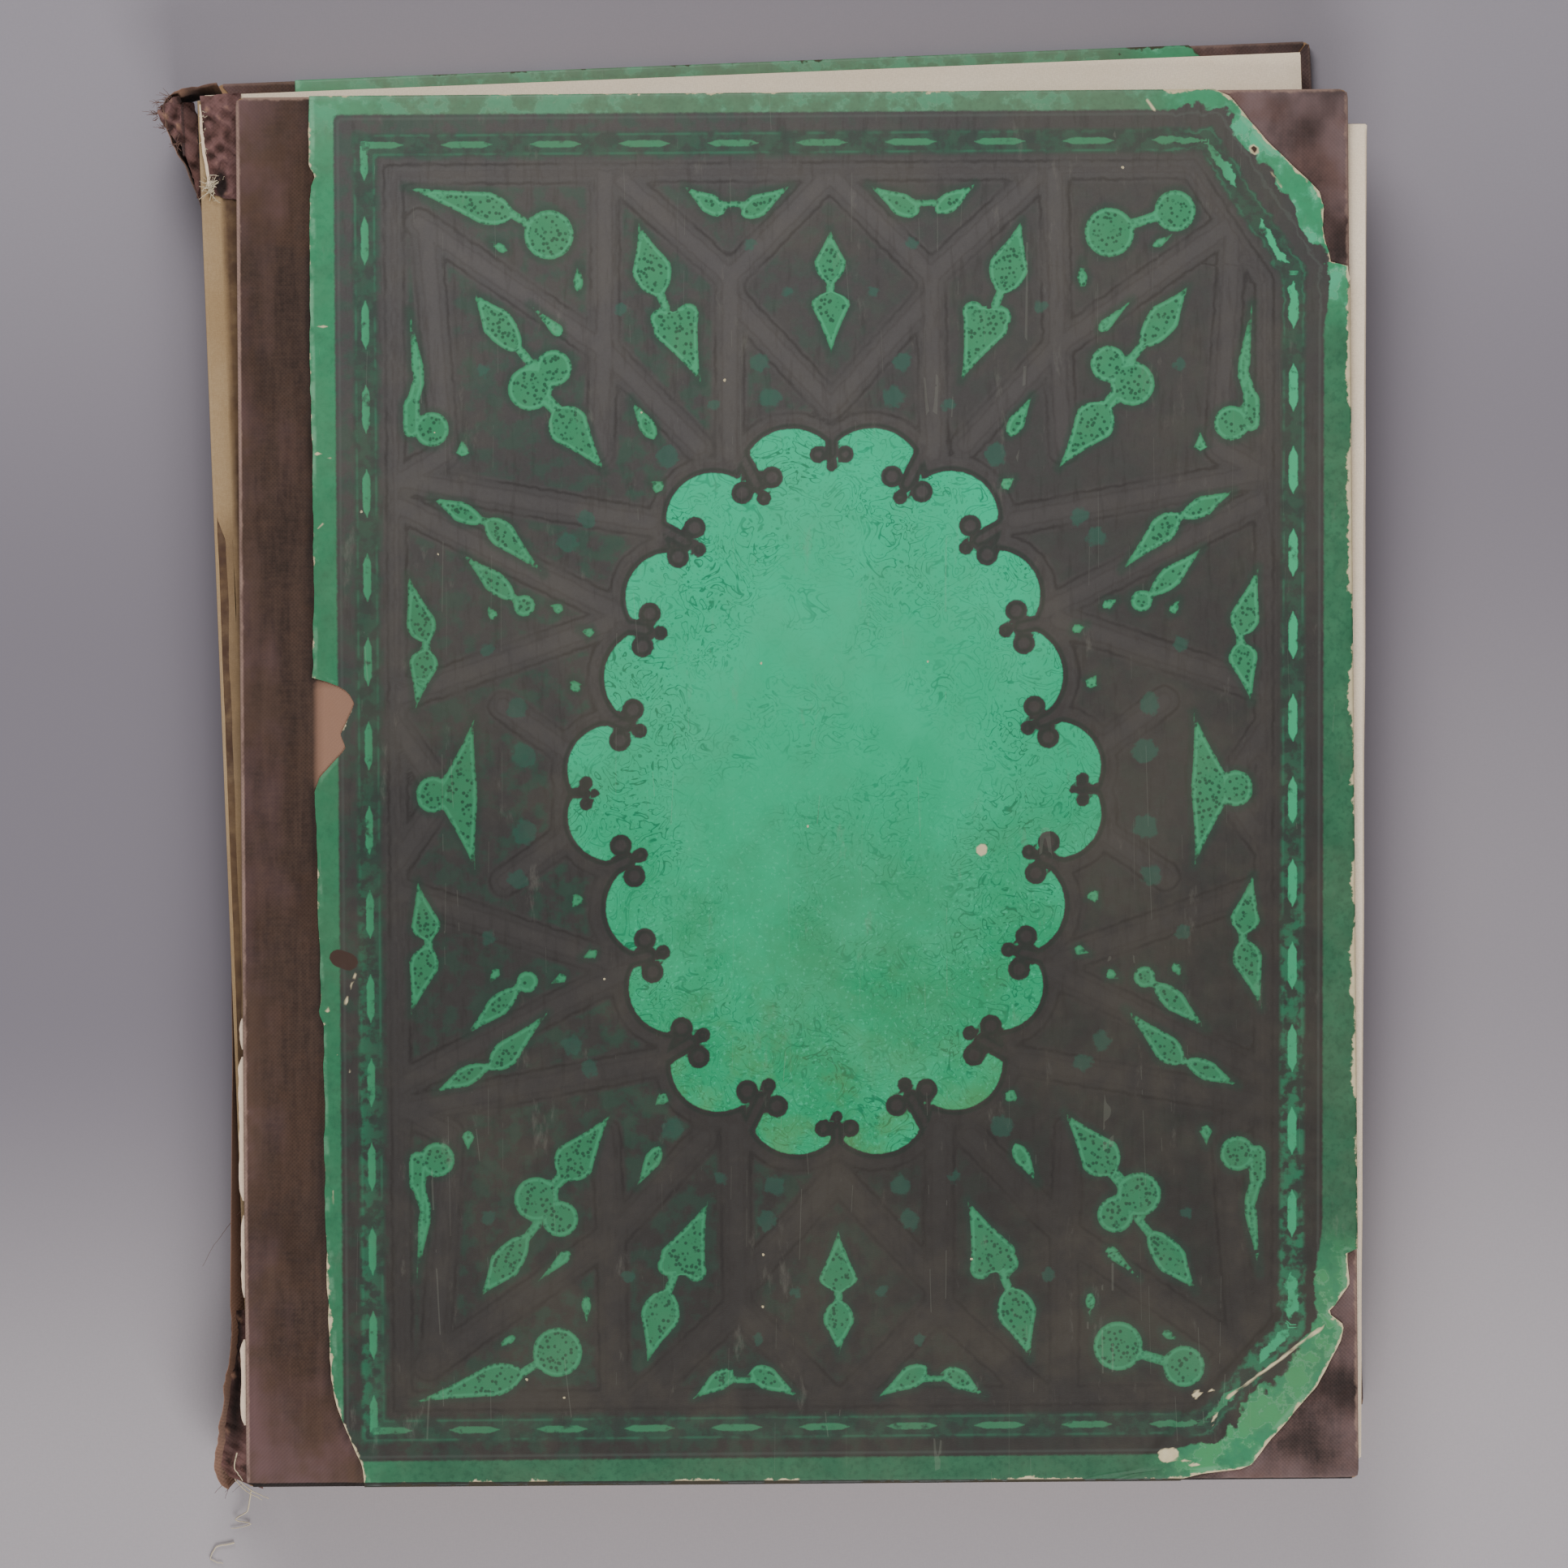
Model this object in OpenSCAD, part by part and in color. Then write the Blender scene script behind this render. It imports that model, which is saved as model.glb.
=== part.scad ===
// Half-cloth scrapbook that lies closed on its back cover, worn and slid apart.
// X runs from the spine to the fore-edge, Y from the tail to the head, and Z up.
// The origin is the middle of the back cover's underside, on the surface it lies on.

/* [Covers] */
// Width of a cover, from its spine edge to its fore-edge
cover_w = 305; // [240:1:360]
// Height of a cover, from tail to head
cover_h = 381; // [320:1:440]
// Thickness of the strawboard in a cover
board_t = 3.5; // [2.4:0.1:5]
// Radius of a cover's corners
corner_r = 2; // [1:0.5:5]
// Thickness of the bookcloth
cloth_t = 0.4; // [0.3:0.05:0.7]
// Thickness of the printed paper on a cover's outside
side_paper_t = 0.3; // [0.2:0.05:0.5]
// Thickness of the paper that lines a cover's inside
pastedown_t = 0.2; // [0.15:0.05:0.4]
// Width of what is turned in over a cover's edges
turn_in_w = 15; // [10:1:25]
// Bare margin between a cover's edge and its pastedown
pastedown_margin = 6; // [2:0.5:8]
// Width of the spine cloth on a board
cloth_on_board = 39; // [28:1:60]
// Overlap of the side paper on the spine cloth
paper_overlap = 17; // [6:1:24]
// Side of the front cover's cloth corners along the board's edges
front_corner_leg = 65; // [50:1:80]
// Side of the back cover's cloth corners along the board's edges
back_corner_leg = 42; // [30:1:80]
// Overlap of the back side paper on its cloth corners
corner_overlap = 8; // [3:1:15]
// Distance of a pastedown from its cover's spine edge
hinge_inset = 1; // [0.5:0.1:3]

/* [Leaves] */
// Thickness of a leaf
leaf_t = 0.28; // [0.2:0.01:0.4]
// Air between two leaves of a section
leaf_gap = 0.02; // [0.01:0.01:0.05]
// Folded sheets in a section
sheets = 4; // [2:1:6]
// Space for the thread inside the innermost fold
fold_gap = 0.4; // [0.4:0.05:0.8]
// Air between neighbouring sections
section_gap = 0.05; // [0.02:0.01:0.2]
// Clearance between the stacked parts of the book
seat_gap = 0.1; // [0.05:0.05:0.3]
// How far the back cover stands out past the leaves at the fore-edge
fore_square = 4.9; // [1:0.1:6]
// How far the back cover stands out past the leaves at the head
head_square = 6; // [2:0.1:8]
// How far the back cover stands out past the leaves at the tail
tail_square = 9; // [4:0.1:12]

/* [Sewing] */
// Width of a sewing tape
tape_w = 12; // [6:1:20]
// Thickness of a sewing tape
tape_t = 0.4; // [0.3:0.05:0.6]
// Distance between neighbouring tapes
tape_spacing = 110; // [80:1:130]
// Length of a tape's end on the back board
slip_len = 30; // [20:1:45]
// Thickness of a tape's end after pressing
slip_t = 0.3; // [0.2:0.05:0.4]
// Diameter of the sewing thread
thread_d = 0.35; // [0.3:0.01:0.38]
// Diameter of the holes for the thread
needle_d = 0.6; // [0.5:0.05:0.9]
// Distance of the kettle stitches from the leaves' head and tail
kettle_inset = 17; // [10:1:25]

/* [Spine] */
// Width of the joint between a cover's spine edge and the folds
joint_w = 2; // [2:0.1:5]
// Thickness of the gauze on the folds
mull_t = 0.2; // [0.15:0.05:0.4]
// Bare length of the spine past the gauze, at each end
mull_margin = 15; // [8:1:30]
// Thickness of the brown-paper lining
lining_t = 0.4; // [0.3:0.05:0.6]
// Bare height of the front board's spine edge under the torn cloth
torn_edge_h = 0.6; // [0.4:0.1:1.5]
// Clearance between the layers on the spine
layer_gap = 0.02; // [0.01:0.01:0.05]
// Bare length of the spine past the lining, at each end
lining_margin = 1; // [0.5:0.1:3]
// Width of the lining that laps over the shoulder of the block
shoulder_w = 14; // [10:0.5:20]
// Distance of the crack from the shoulder's edge
crack_inset = 0.5; // [0.3:0.1:1.5]
// Width of the crack along the shoulder
crack_w = 2; // [0.5:0.1:2.5]
// Upper end of the crack along the shoulder
crack_top_y = 67; // [40:1:90]
// Lower end of the crack along the shoulder
crack_low_y = -122; // [-160:1:-80]
// How far the frayed cloth stands out at the head
head_flare = 7.6; // [4:0.1:9]
// How far the frayed cloth stands out at the tail
tail_flare = 6.4; // [4:0.1:9]
// Length of the flared cloth at each end
flare_len = 40; // [30:1:60]
// Length of the curl that ends the flared cloth at the head
head_curl = 9; // [5:0.5:14]
// Length of the curl that ends the flared cloth at the tail
tail_curl = 4; // [2:0.5:8]
// Slope of the flared cloth's torn edge: its rise for each millimetre that it stands out
flare_slope = 1.0; // [0.5:0.05:1.2]
// Depth of the notches in the spine cloth's torn edge
torn_notch = 0.5; // [0.2:0.1:0.8]

/* [Slid apart] */
// Front cover's place towards the fore-edge
front_x = 1.5; // [0:0.1:6]
// Front cover's place towards the head
front_y = -11.8; // [-14:0.1:0]
// Front cover's turn, clockwise from above
front_turn = 1.8; // [0:0.1:3]
// Loose leaves' place towards the fore-edge
loose_x = 9.2; // [5:0.1:10]
// Loose leaves' place towards the head
loose_y = -13.8; // [-15:0.1:0]
// Loose leaves' turn, clockwise from above
loose_turn = 2.5; // [0:0.1:3]

/* [Torn front paper] */
// Height of the torn-out bite's middle on the left edge
bite_y = 15; // [-60:1:60]
// Width of the bite
bite_w = 9; // [4:0.5:14]
// Height of the bite
bite_h = 32; // [16:1:48]
// Length of the tear at the head corner, along the fore-edge
head_tear = 48; // [30:1:60]
// Length of the tear at the tail corner, along the fore-edge
tail_tear = 56; // [30:1:62]
// Height of the tear at the left edge's foot
foot_tear = 26; // [10:1:40]

/* [Hidden] */
$fn = 48;
half_w = cover_w / 2;
half_h = cover_h / 2;
paper_x = -half_w + cloth_on_board - paper_overlap;
cover_t = board_t + side_paper_t + pastedown_t;
past = 1; // how far a plan zone reaches past the cover

// Text block, from the back cover up
leaf_h = cover_h - head_square - tail_square;
block_shift = (tail_square - head_square) / 2;
lower_section_count = 5;
upper_section_count = 2;
fold_x = -half_w - joint_w;
leaf_w = half_w - fore_square - fold_x;
section_t = fold_gap + 2 * (sheets * leaf_t + (sheets - 1) * leaf_gap);
section_pitch = section_t + section_gap;
flyleaf_z = cover_t + seat_gap;
lower_z = flyleaf_z + leaf_t + seat_gap;
crack_z = lower_z + lower_section_count * section_pitch;
shoulder_z = crack_z + upper_section_count * section_pitch;
loose_z = shoulder_z + lining_t + seat_gap;
front_flyleaf_z = loose_z + section_pitch;
front_z = front_flyleaf_z + leaf_t + seat_gap + pastedown_t;
stations = [for (i = [-1:1]) i * tape_spacing];

// Layers on the spine, from the folds outwards
tape_x = fold_x - layer_gap - tape_t;
loop_x = tape_x - thread_d / 2;
mull_x = loop_x - thread_d / 2 - layer_gap - mull_t;
lining_x = mull_x - layer_gap - lining_t;
cloth_x = lining_x - layer_gap - cloth_t;
wall_z = side_paper_t + cloth_t + seat_gap / 2;
stitch_reach = tape_w / 2 + thread_d;
kettle_y = leaf_h / 2 - kettle_inset;

// Places of the two covers and of the loose leaves
module in_front_cover() {
    translate([front_x, front_y, front_z]) rotate([0, 0, -front_turn]) children();
}

module in_back_cover() {
    translate([0, 0, board_t + side_paper_t]) mirror([0, 0, 1]) children();
}

module in_loose_leaves() {
    translate([loose_x, loose_y, 0]) rotate([0, 0, -loose_turn]) children();
}

// A cover's outline, drawn in by a margin on all sides
module cover_outline(margin = 0) {
    w = cover_w - 2 * margin;
    h = cover_h - 2 * margin;
    r = corner_r - min(margin, corner_r / 2);
    square([w - 2 * r, h], center = true);
    square([w, h - 2 * r], center = true);
    for (sx = [-1, 1], sy = [-1, 1])
        translate([sx * (w / 2 - r), sy * (h / 2 - r)]) circle(r);
}

// A sheet of thickness t over a slab of height top: its outer face, its edges and the turn-ins
module wrapped_sheet(t, top) {
    difference() {
        linear_extrude(top) cover_outline();
        translate([0, 0, t]) linear_extrude(top - 2 * t) cover_outline(t);
        translate([-half_w + t, -half_h + turn_in_w, -1])
            cube([cover_w - turn_in_w - t, cover_h - 2 * turn_in_w, 1.5 + t]);
    }
}

// Plan zones of the cloth; they reach past the cover so that the edges are covered too
module strip_zone() {
    translate([-half_w - past, -half_h - past]) square([cloth_on_board + past, cover_h + 2 * past]);
}

module corner_zone(leg, side) {
    polygon([
        [half_w + past, side * (half_h + past)],
        [half_w - leg - past, side * (half_h + past)],
        [half_w + past, side * (half_h - leg - past)]
    ]);
}

module cloth_zones(leg) {
    strip_zone();
    for (side = [-1, 1]) corner_zone(leg, side);
}

// Cloth on a board: the strip at the spine and the corners
module cloth_strip(over_spine_edge) {
    difference() {
        intersection() {
            wrapped_sheet(cloth_t, board_t);
            linear_extrude(board_t) strip_zone();
        }
        translate([-half_w - 1, -half_h + cloth_t, -1])
            cube([1 + cloth_t, cover_h - 2 * cloth_t, 1 + (over_spine_edge ? torn_edge_h : board_t - cloth_t)]);
    }
}

module cloth_corner(leg, side) {
    intersection() {
        wrapped_sheet(cloth_t, board_t);
        linear_extrude(board_t) corner_zone(leg, side);
    }
}

// Side paper over a zone: it wraps the board's edges only where there is no cloth
module side_paper(leg) {
    difference() {
        intersection() {
            wrapped_sheet(side_paper_t, board_t + side_paper_t);
            linear_extrude(board_t + side_paper_t) children();
        }
        translate([0, 0, -1]) linear_extrude(board_t + 1) cloth_zones(leg);
    }
}

// The printed paper's worn outline: torn at both fore-edge corners, at the tail and on the left edge
module torn_paper_zone() {
    polygon([
        [paper_x - past, half_h + past],
        [half_w - 0.79 * head_tear, half_h + past],
        [half_w - 0.79 * head_tear, half_h - 0.03 * head_tear],
        [half_w - 0.6 * head_tear, half_h - 0.1 * head_tear],
        [half_w - 0.33 * head_tear, half_h - 0.4 * head_tear],
        [half_w - 0.16 * head_tear, half_h - 0.63 * head_tear],
        [half_w - 0.1 * head_tear, half_h - 0.98 * head_tear],
        [half_w + past, half_h - head_tear],
        [half_w + past, -half_h + tail_tear],
        [half_w - 0.17 * tail_tear, -half_h + 0.88 * tail_tear],
        [half_w - 0.1 * tail_tear, -half_h + 0.73 * tail_tear],
        [half_w - 0.13 * tail_tear, -half_h + 0.53 * tail_tear],
        [half_w - 0.3 * tail_tear, -half_h + 0.33 * tail_tear],
        [half_w - 0.52 * tail_tear, -half_h + 0.1 * tail_tear],
        [half_w - 0.55 * tail_tear, -half_h - past],
        [paper_x + 0.46 * foot_tear, -half_h - past],
        [paper_x + 0.42 * foot_tear, -half_h + 0.08 * foot_tear],
        [paper_x + 0.12 * foot_tear, -half_h + 0.77 * foot_tear],
        [paper_x + 0.06 * foot_tear, -half_h + foot_tear],
        [paper_x, bite_y - 0.5 * bite_h],
        [paper_x + 0.39 * bite_w, bite_y - 0.34 * bite_h],
        [paper_x + 0.44 * bite_w, bite_y - 0.16 * bite_h],
        [paper_x + 0.78 * bite_w, bite_y - 0.03 * bite_h],
        [paper_x + bite_w, bite_y + 0.22 * bite_h],
        [paper_x + 0.67 * bite_w, bite_y + 0.45 * bite_h],
        [paper_x - 0.06 * bite_w, bite_y + 0.5 * bite_h]
    ]);
}

module whole_paper_zone() {
    leg = back_corner_leg - corner_overlap;
    polygon([
        [paper_x, half_h + past],
        [half_w - leg - past, half_h + past],
        [half_w + past, half_h - leg - past],
        [half_w + past, -half_h + leg + past],
        [half_w - leg - past, -half_h - past],
        [paper_x, -half_h - past]
    ]);
}

module pastedown() {
    translate([-half_w + hinge_inset, -half_h + pastedown_margin, -pastedown_t])
        cube([cover_w - hinge_inset - pastedown_margin, cover_h - 2 * pastedown_margin, pastedown_t]);
}

module slips() {
    for (y = stations)
        translate([-half_w, y + block_shift - tape_w / 2, 0]) cube([slip_len, tape_w, slip_t]);
}

// Front cover
module front_board() {
    color("tan") in_front_cover() difference() {
        linear_extrude(board_t) cover_outline();
        cloth_strip(true);
        for (side = [-1, 1]) cloth_corner(front_corner_leg, side);
        side_paper(front_corner_leg) torn_paper_zone();
    }
}

module front_cloth_strip() {
    color("#3f302b") in_front_cover() cloth_strip(true);
}

module front_head_corner() {
    color("#3f302b") in_front_cover() cloth_corner(front_corner_leg, 1);
}

module front_tail_corner() {
    color("#3f302b") in_front_cover() cloth_corner(front_corner_leg, -1);
}

module front_side_paper() {
    color("#2f6a4b") in_front_cover() side_paper(front_corner_leg) torn_paper_zone();
}

module front_pastedown() {
    color("#e9dfc8") in_front_cover() pastedown();
}

// Back cover
module back_board() {
    color("tan") in_back_cover() difference() {
        linear_extrude(board_t) cover_outline();
        cloth_strip(false);
        for (side = [-1, 1]) cloth_corner(back_corner_leg, side);
        side_paper(back_corner_leg) whole_paper_zone();
        slips();
    }
}

module back_cloth_strip() {
    color("#3f302b") in_back_cover() {
        cloth_strip(false);
        translate([cloth_x, -half_h + corner_r, board_t - cloth_t])
            cube([-half_w - cloth_x + cloth_t, cover_h - 2 * corner_r, cloth_t]);
    }
}

module back_head_corner() {
    color("#3f302b") in_back_cover() cloth_corner(back_corner_leg, 1);
}

module back_tail_corner() {
    color("#3f302b") in_back_cover() cloth_corner(back_corner_leg, -1);
}

module back_side_paper() {
    color("#2f6a4b") in_back_cover() side_paper(back_corner_leg) whole_paper_zone();
}

module back_pastedown() {
    color("#e9dfc8") in_back_cover() pastedown();
}

module tape_slips() {
    color("#cdbf9f") in_back_cover() slips();
}

// One folded sheet seen along the fold: an outer fold of radius r less its inside
module fold_profile(r) {
    circle(r);
    translate([0, -r]) square([leaf_w - section_t / 2, 2 * r]);
}

// Four nested folded sheets with needle holes at the sewing stations; the fold's axis is at x = 0
module folded_sheets() {
    difference() {
        translate([0, leaf_h / 2, 0]) rotate([90, 0, 0]) linear_extrude(leaf_h)
            for (k = [0:sheets - 1])
                difference() {
                    fold_profile(fold_gap / 2 + k * (leaf_t + leaf_gap) + leaf_t);
                    translate([0.001, 0]) fold_profile(fold_gap / 2 + k * (leaf_t + leaf_gap));
                }
        for (y = needle_places())
            translate([-section_t, y, 0]) rotate([0, 90, 0]) cylinder(h = section_t, d = needle_d);
    }
}

function needle_places() = concat(
    [-kettle_y, kettle_y],
    [for (y = stations) y - stitch_reach],
    [for (y = stations) y + stitch_reach]
);

module section(bottom_z) {
    color("#efe6d2") translate([fold_x + section_t / 2, block_shift, bottom_z + section_t / 2])
        folded_sheets();
}

// The sewing of one section: runs inside the fold, legs through it and loops over the tapes
module section_stitches(bottom_z) {
    run_x = fold_x + section_t / 2;
    inner_ends = concat([-kettle_y], [for (y = stations) each [y - stitch_reach, y + stitch_reach]], [kettle_y]);
    translate([0, block_shift, bottom_z + section_t / 2]) {
        for (i = [0:2:len(inner_ends) - 1])
            translate([run_x, inner_ends[i] - thread_d / 2, 0]) rotate([-90, 0, 0])
                cylinder(h = inner_ends[i + 1] - inner_ends[i] + thread_d, d = thread_d);
        for (y = needle_places())
            translate([loop_x, y, 0]) rotate([0, 90, 0]) cylinder(h = run_x - loop_x, d = thread_d);
        for (y = stations)
            translate([loop_x, y - stitch_reach - thread_d / 2, 0]) rotate([-90, 0, 0])
                cylinder(h = 2 * stitch_reach + thread_d, d = thread_d);
    }
}

// Sewing of neighbouring sections, joined by the kettle stitches at head and tail
module sewing(bottom_z, count) {
    color("#d8cdb4") {
        for (i = [0:count - 1]) section_stitches(bottom_z + i * section_pitch);
        for (side = [-1, 1])
            translate([loop_x, block_shift + side * kettle_y, bottom_z + section_t / 2 - thread_d / 2])
                cylinder(h = (count - 1) * section_pitch + thread_d, d = thread_d);
    }
}

module tapes(bottom_z, top_z) {
    color("#cdbf9f") for (y = stations)
        translate([tape_x, block_shift + y - tape_w / 2, bottom_z]) cube([tape_t, tape_w, top_z - bottom_z]);
}

// A single leaf, tipped on at the folds
module flyleaf(bottom_z) {
    color("#efe6d2") translate([fold_x, block_shift - leaf_h / 2, bottom_z]) cube([leaf_w, leaf_h, leaf_t]);
}

// Loose front leaves
module section_1() {
    in_loose_leaves() section(loose_z);
}

module front_flyleaf() {
    in_loose_leaves() flyleaf(front_flyleaf_z);
}

// Leaves above the crack
module section_2() {
    section(crack_z + section_pitch);
}

module section_3() {
    section(crack_z);
}

module upper_thread() {
    sewing(crack_z, upper_section_count);
}

module upper_tape_ends() {
    tapes(crack_z, shoulder_z - section_gap);
}

// Tan lining of the upper spine that laps over the shoulder, with a crack along the fold
module shoulder_lining() {
    lap_h = leaf_h - 2 * lining_margin;
    crack_x = lining_t + crack_inset;
    color("#b09468") translate([0, block_shift, 0]) {
        translate([lining_x, -lap_h / 2, crack_z + section_gap])
            cube([lining_t, lap_h, shoulder_z + lining_t - crack_z - section_gap]);
        translate([lining_x, 0, shoulder_z]) linear_extrude(lining_t) difference() {
            translate([0, -lap_h / 2]) square([shoulder_w, lap_h]);
            polygon([
                [crack_x + 0.1 * crack_w, crack_top_y],
                [crack_x - 0.1 * crack_w, crack_low_y],
                [crack_x + 0.9 * crack_w, crack_low_y],
                [crack_x + 1.1 * crack_w, crack_top_y - 9 * crack_w],
                [crack_x + 2.1 * crack_w, crack_top_y - 4 * crack_w]
            ]);
        }
    }
}

// Text block below the crack
module section_4() {
    section(lower_z + 4 * section_pitch);
}

module section_5() {
    section(lower_z + 3 * section_pitch);
}

module section_6() {
    section(lower_z + 2 * section_pitch);
}

module section_7() {
    section(lower_z + section_pitch);
}

module section_8() {
    section(lower_z);
}

module sewing_thread() {
    sewing(lower_z, lower_section_count);
}

module sewing_tapes() {
    tapes(flyleaf_z, crack_z - section_gap);
}

module mull() {
    color("#c9bd9f") translate([mull_x, block_shift - leaf_h / 2 + mull_margin, flyleaf_z])
        cube([mull_t, leaf_h - 2 * mull_margin, crack_z - section_gap - flyleaf_z]);
}

module spine_lining() {
    color("#b09468") translate([lining_x, block_shift - leaf_h / 2 + lining_margin, wall_z])
        cube([lining_t, leaf_h - 2 * lining_margin, crack_z - section_gap - wall_z]);
}

module back_flyleaf() {
    flyleaf(flyleaf_z);
}

// How far the spine cloth stands out from the spine at height y
function ease(t) = let (u = max(0, min(1, t))) u * u * (3 - 2 * u);
function flare(y) =
    head_flare * ease((y - half_h + flare_len) / (flare_len - head_curl))
    + tail_flare * ease((-y - half_h + flare_len) / (flare_len - tail_curl));

// A band of thickness t along a path in plan
function side_of(path, i, t) =
    let (
        before = path[max(0, i - 1)],
        after = path[min(len(path) - 1, i + 1)],
        along = (after - before) / norm(after - before)
    )
    path[i] + t / 2 * [-along[1], along[0]];

module band(path, t) {
    last = len(path) - 1;
    polygon(concat(
        [for (i = [0:last]) side_of(path, i, t)],
        [for (i = [last:-1:0]) side_of(path, i, -t)]
    ));
}

function bend(a, b, c, t) = (1 - t) * (1 - t) * a + 2 * t * (1 - t) * b + t * t * c;

// The cloth from its frayed head, along the spine, to its frayed tail; its flared ends clear the back cover
module spine_cloth() {
    wall_x = cloth_x + cloth_t / 2;
    flap_z = cover_t + seat_gap;
    flap_y = half_h - flare_len;
    top_y = half_h - head_curl;
    low_y = -half_h + tail_curl;
    head_tip = [wall_x - flare(top_y), top_y];
    tail_tip = [wall_x - flare(low_y), low_y];
    head_end = [-half_w + head_curl / 4, half_h - past];
    tail_end = [-half_w - joint_w, -half_h + past / 2];
    path = concat(
        [for (t = [0:0.125:0.9]) bend(head_end, [head_tip[0], head_end[1]], head_tip, t)],
        [for (y = [top_y:-3:flap_y]) [wall_x - flare(y), y]],
        [for (y = [-flap_y:-3:low_y]) [wall_x - flare(y), y]],
        [for (t = [0.2:0.2:1]) bend(tail_tip, [tail_tip[0] + past / 2, tail_end[1]], tail_end, t)]
    );
    edge_steps = [for (y = [-half_h - past:3:half_h + past]) y];
    color("#3f302b") intersection() {
        linear_extrude(2 * crack_z) band(path, cloth_t);
        rotate([90, 0, 90]) translate([0, 0, -cover_w]) linear_extrude(cover_w) polygon(concat(
            [
                [-half_h - past, flap_z],
                [-flap_y, flap_z],
                [-flap_y + 2 * flap_z, wall_z],
                [flap_y - 2 * flap_z, wall_z],
                [flap_y, flap_z],
                [half_h + past, flap_z]
            ],
            [for (i = [len(edge_steps) - 1:-1:0]) let (y = edge_steps[i])
                [y, crack_z - torn_notch * (1.1 + 0.5 * sin(37 * y)) + flare_slope * flare(y)]]
        ));
    }
}

section_1();
front_flyleaf();
section_2();
section_3();
upper_thread();
upper_tape_ends();
shoulder_lining();
section_4();
section_5();
section_6();
section_7();
section_8();
sewing_thread();
sewing_tapes();
mull();
spine_lining();
spine_cloth();
back_flyleaf();
front_board();
front_cloth_strip();
front_head_corner();
front_tail_corner();
front_side_paper();
front_pastedown();
back_board();
back_cloth_strip();
back_head_corner();
back_tail_corner();
back_side_paper();
back_pastedown();
tape_slips();
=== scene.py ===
"""Worn half-cloth scrapbook: the looks of its pieces, set on the fixed frame.

Lengths are millimetres in the part's own frame until a mesh is laid, where they become metres.
"""

import logging
import math
from dataclasses import dataclass, field
from enum import Enum
from typing import Callable, Sequence, Union

import bmesh
import bpy
import numpy as np
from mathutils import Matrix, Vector


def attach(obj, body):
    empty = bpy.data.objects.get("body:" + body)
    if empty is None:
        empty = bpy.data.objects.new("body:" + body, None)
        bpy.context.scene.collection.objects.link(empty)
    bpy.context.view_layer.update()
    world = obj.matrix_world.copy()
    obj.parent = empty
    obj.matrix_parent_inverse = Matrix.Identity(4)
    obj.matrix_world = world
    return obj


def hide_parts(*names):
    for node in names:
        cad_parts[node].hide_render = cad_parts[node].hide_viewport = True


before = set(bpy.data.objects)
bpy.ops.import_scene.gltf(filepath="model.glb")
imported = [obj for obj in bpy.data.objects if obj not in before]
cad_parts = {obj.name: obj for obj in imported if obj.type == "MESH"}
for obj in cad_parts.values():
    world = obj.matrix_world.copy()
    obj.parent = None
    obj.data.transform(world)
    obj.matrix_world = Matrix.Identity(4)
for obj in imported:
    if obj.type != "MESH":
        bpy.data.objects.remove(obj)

LOG = logging.getLogger("scrapbook")
MM = 0.001
FAR = 300.0
Line = Callable[[np.ndarray], np.ndarray]
Number = Union[float, np.ndarray]


class Body(Enum):
    """Bodies of the frame that pieces ride on."""

    TEXT_BLOCK = "text_block"
    UPPER_LEAVES = "upper_leaves"
    FRONT_LEAVES = "front_leaves"
    FRONT_COVER = "front_cover"
    BACK_COVER = "back_cover"


class Edge(Enum):
    """Edges of a cover."""

    HEAD = "head"
    TAIL = "tail"
    FORE = "fore"
    SPINE = "spine"


class Zone(Enum):
    """Parts of a wrapped sheet's row: on the face, on the edge or turned in."""

    FACE = 0
    EDGE = 1
    TURNED_IN = 2


# Shared sizes


@dataclass(frozen=True)
class Book:
    """Sizes that several pieces share, in millimetres, as the part's source has them."""

    half_w: float = 152.5
    half_h: float = 190.5
    board_t: float = 3.5
    corner_r: float = 2.0
    cloth_t: float = 0.4
    paper_t: float = 0.3
    turn_in: float = 15.0
    cloth_on_board: float = 39.0
    front_leg: float = 65.0
    back_leg: float = 42.0
    leaf_t: float = 0.28
    leaf_gap: float = 0.02
    fold_gap: float = 0.4
    sheets: int = 4
    section_t: float = 2.76
    pitch: float = 2.81
    fold_x: float = -154.5
    leaf_w: float = 302.1
    leaf_h: float = 366.0
    block_shift: float = 1.5
    flyleaf_z: float = 4.1
    lower_z: float = 4.48
    crack_z: float = 18.53
    shoulder_z: float = 24.15
    loose_z: float = 24.65
    front_flyleaf_z: float = 27.46
    lining_x: float = -155.91
    cloth_x: float = -156.33
    lining_t: float = 0.4
    wall_z: float = 0.75

    @property
    def strip_x(self) -> float:
        """Inner edge of the cloth strip on a board."""
        return -self.half_w + self.cloth_on_board


BOOK = Book()


@dataclass(frozen=True)
class Placement:
    """A body, and where its pieces lie: a turn about Z, then a shift; the back cover is flipped over."""

    body: Body
    shift: tuple[float, float, float] = (0.0, 0.0, 0.0)
    clockwise: float = 0.0
    flipped_at: float | None = None

    def place(self, points: np.ndarray) -> np.ndarray:
        """Turns, flips and shifts points.

        Args:
            points: Places in the stack's own frame, in millimetres.

        Returns:
            Places in the part's frame, in millimetres.
        """
        angle = math.radians(-self.clockwise)
        x = points[:, 0] * math.cos(angle) - points[:, 1] * math.sin(angle)
        y = points[:, 0] * math.sin(angle) + points[:, 1] * math.cos(angle)
        z = points[:, 2] if self.flipped_at is None else self.flipped_at - points[:, 2]
        return np.column_stack([x, y, z]) + np.array(self.shift)


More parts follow.
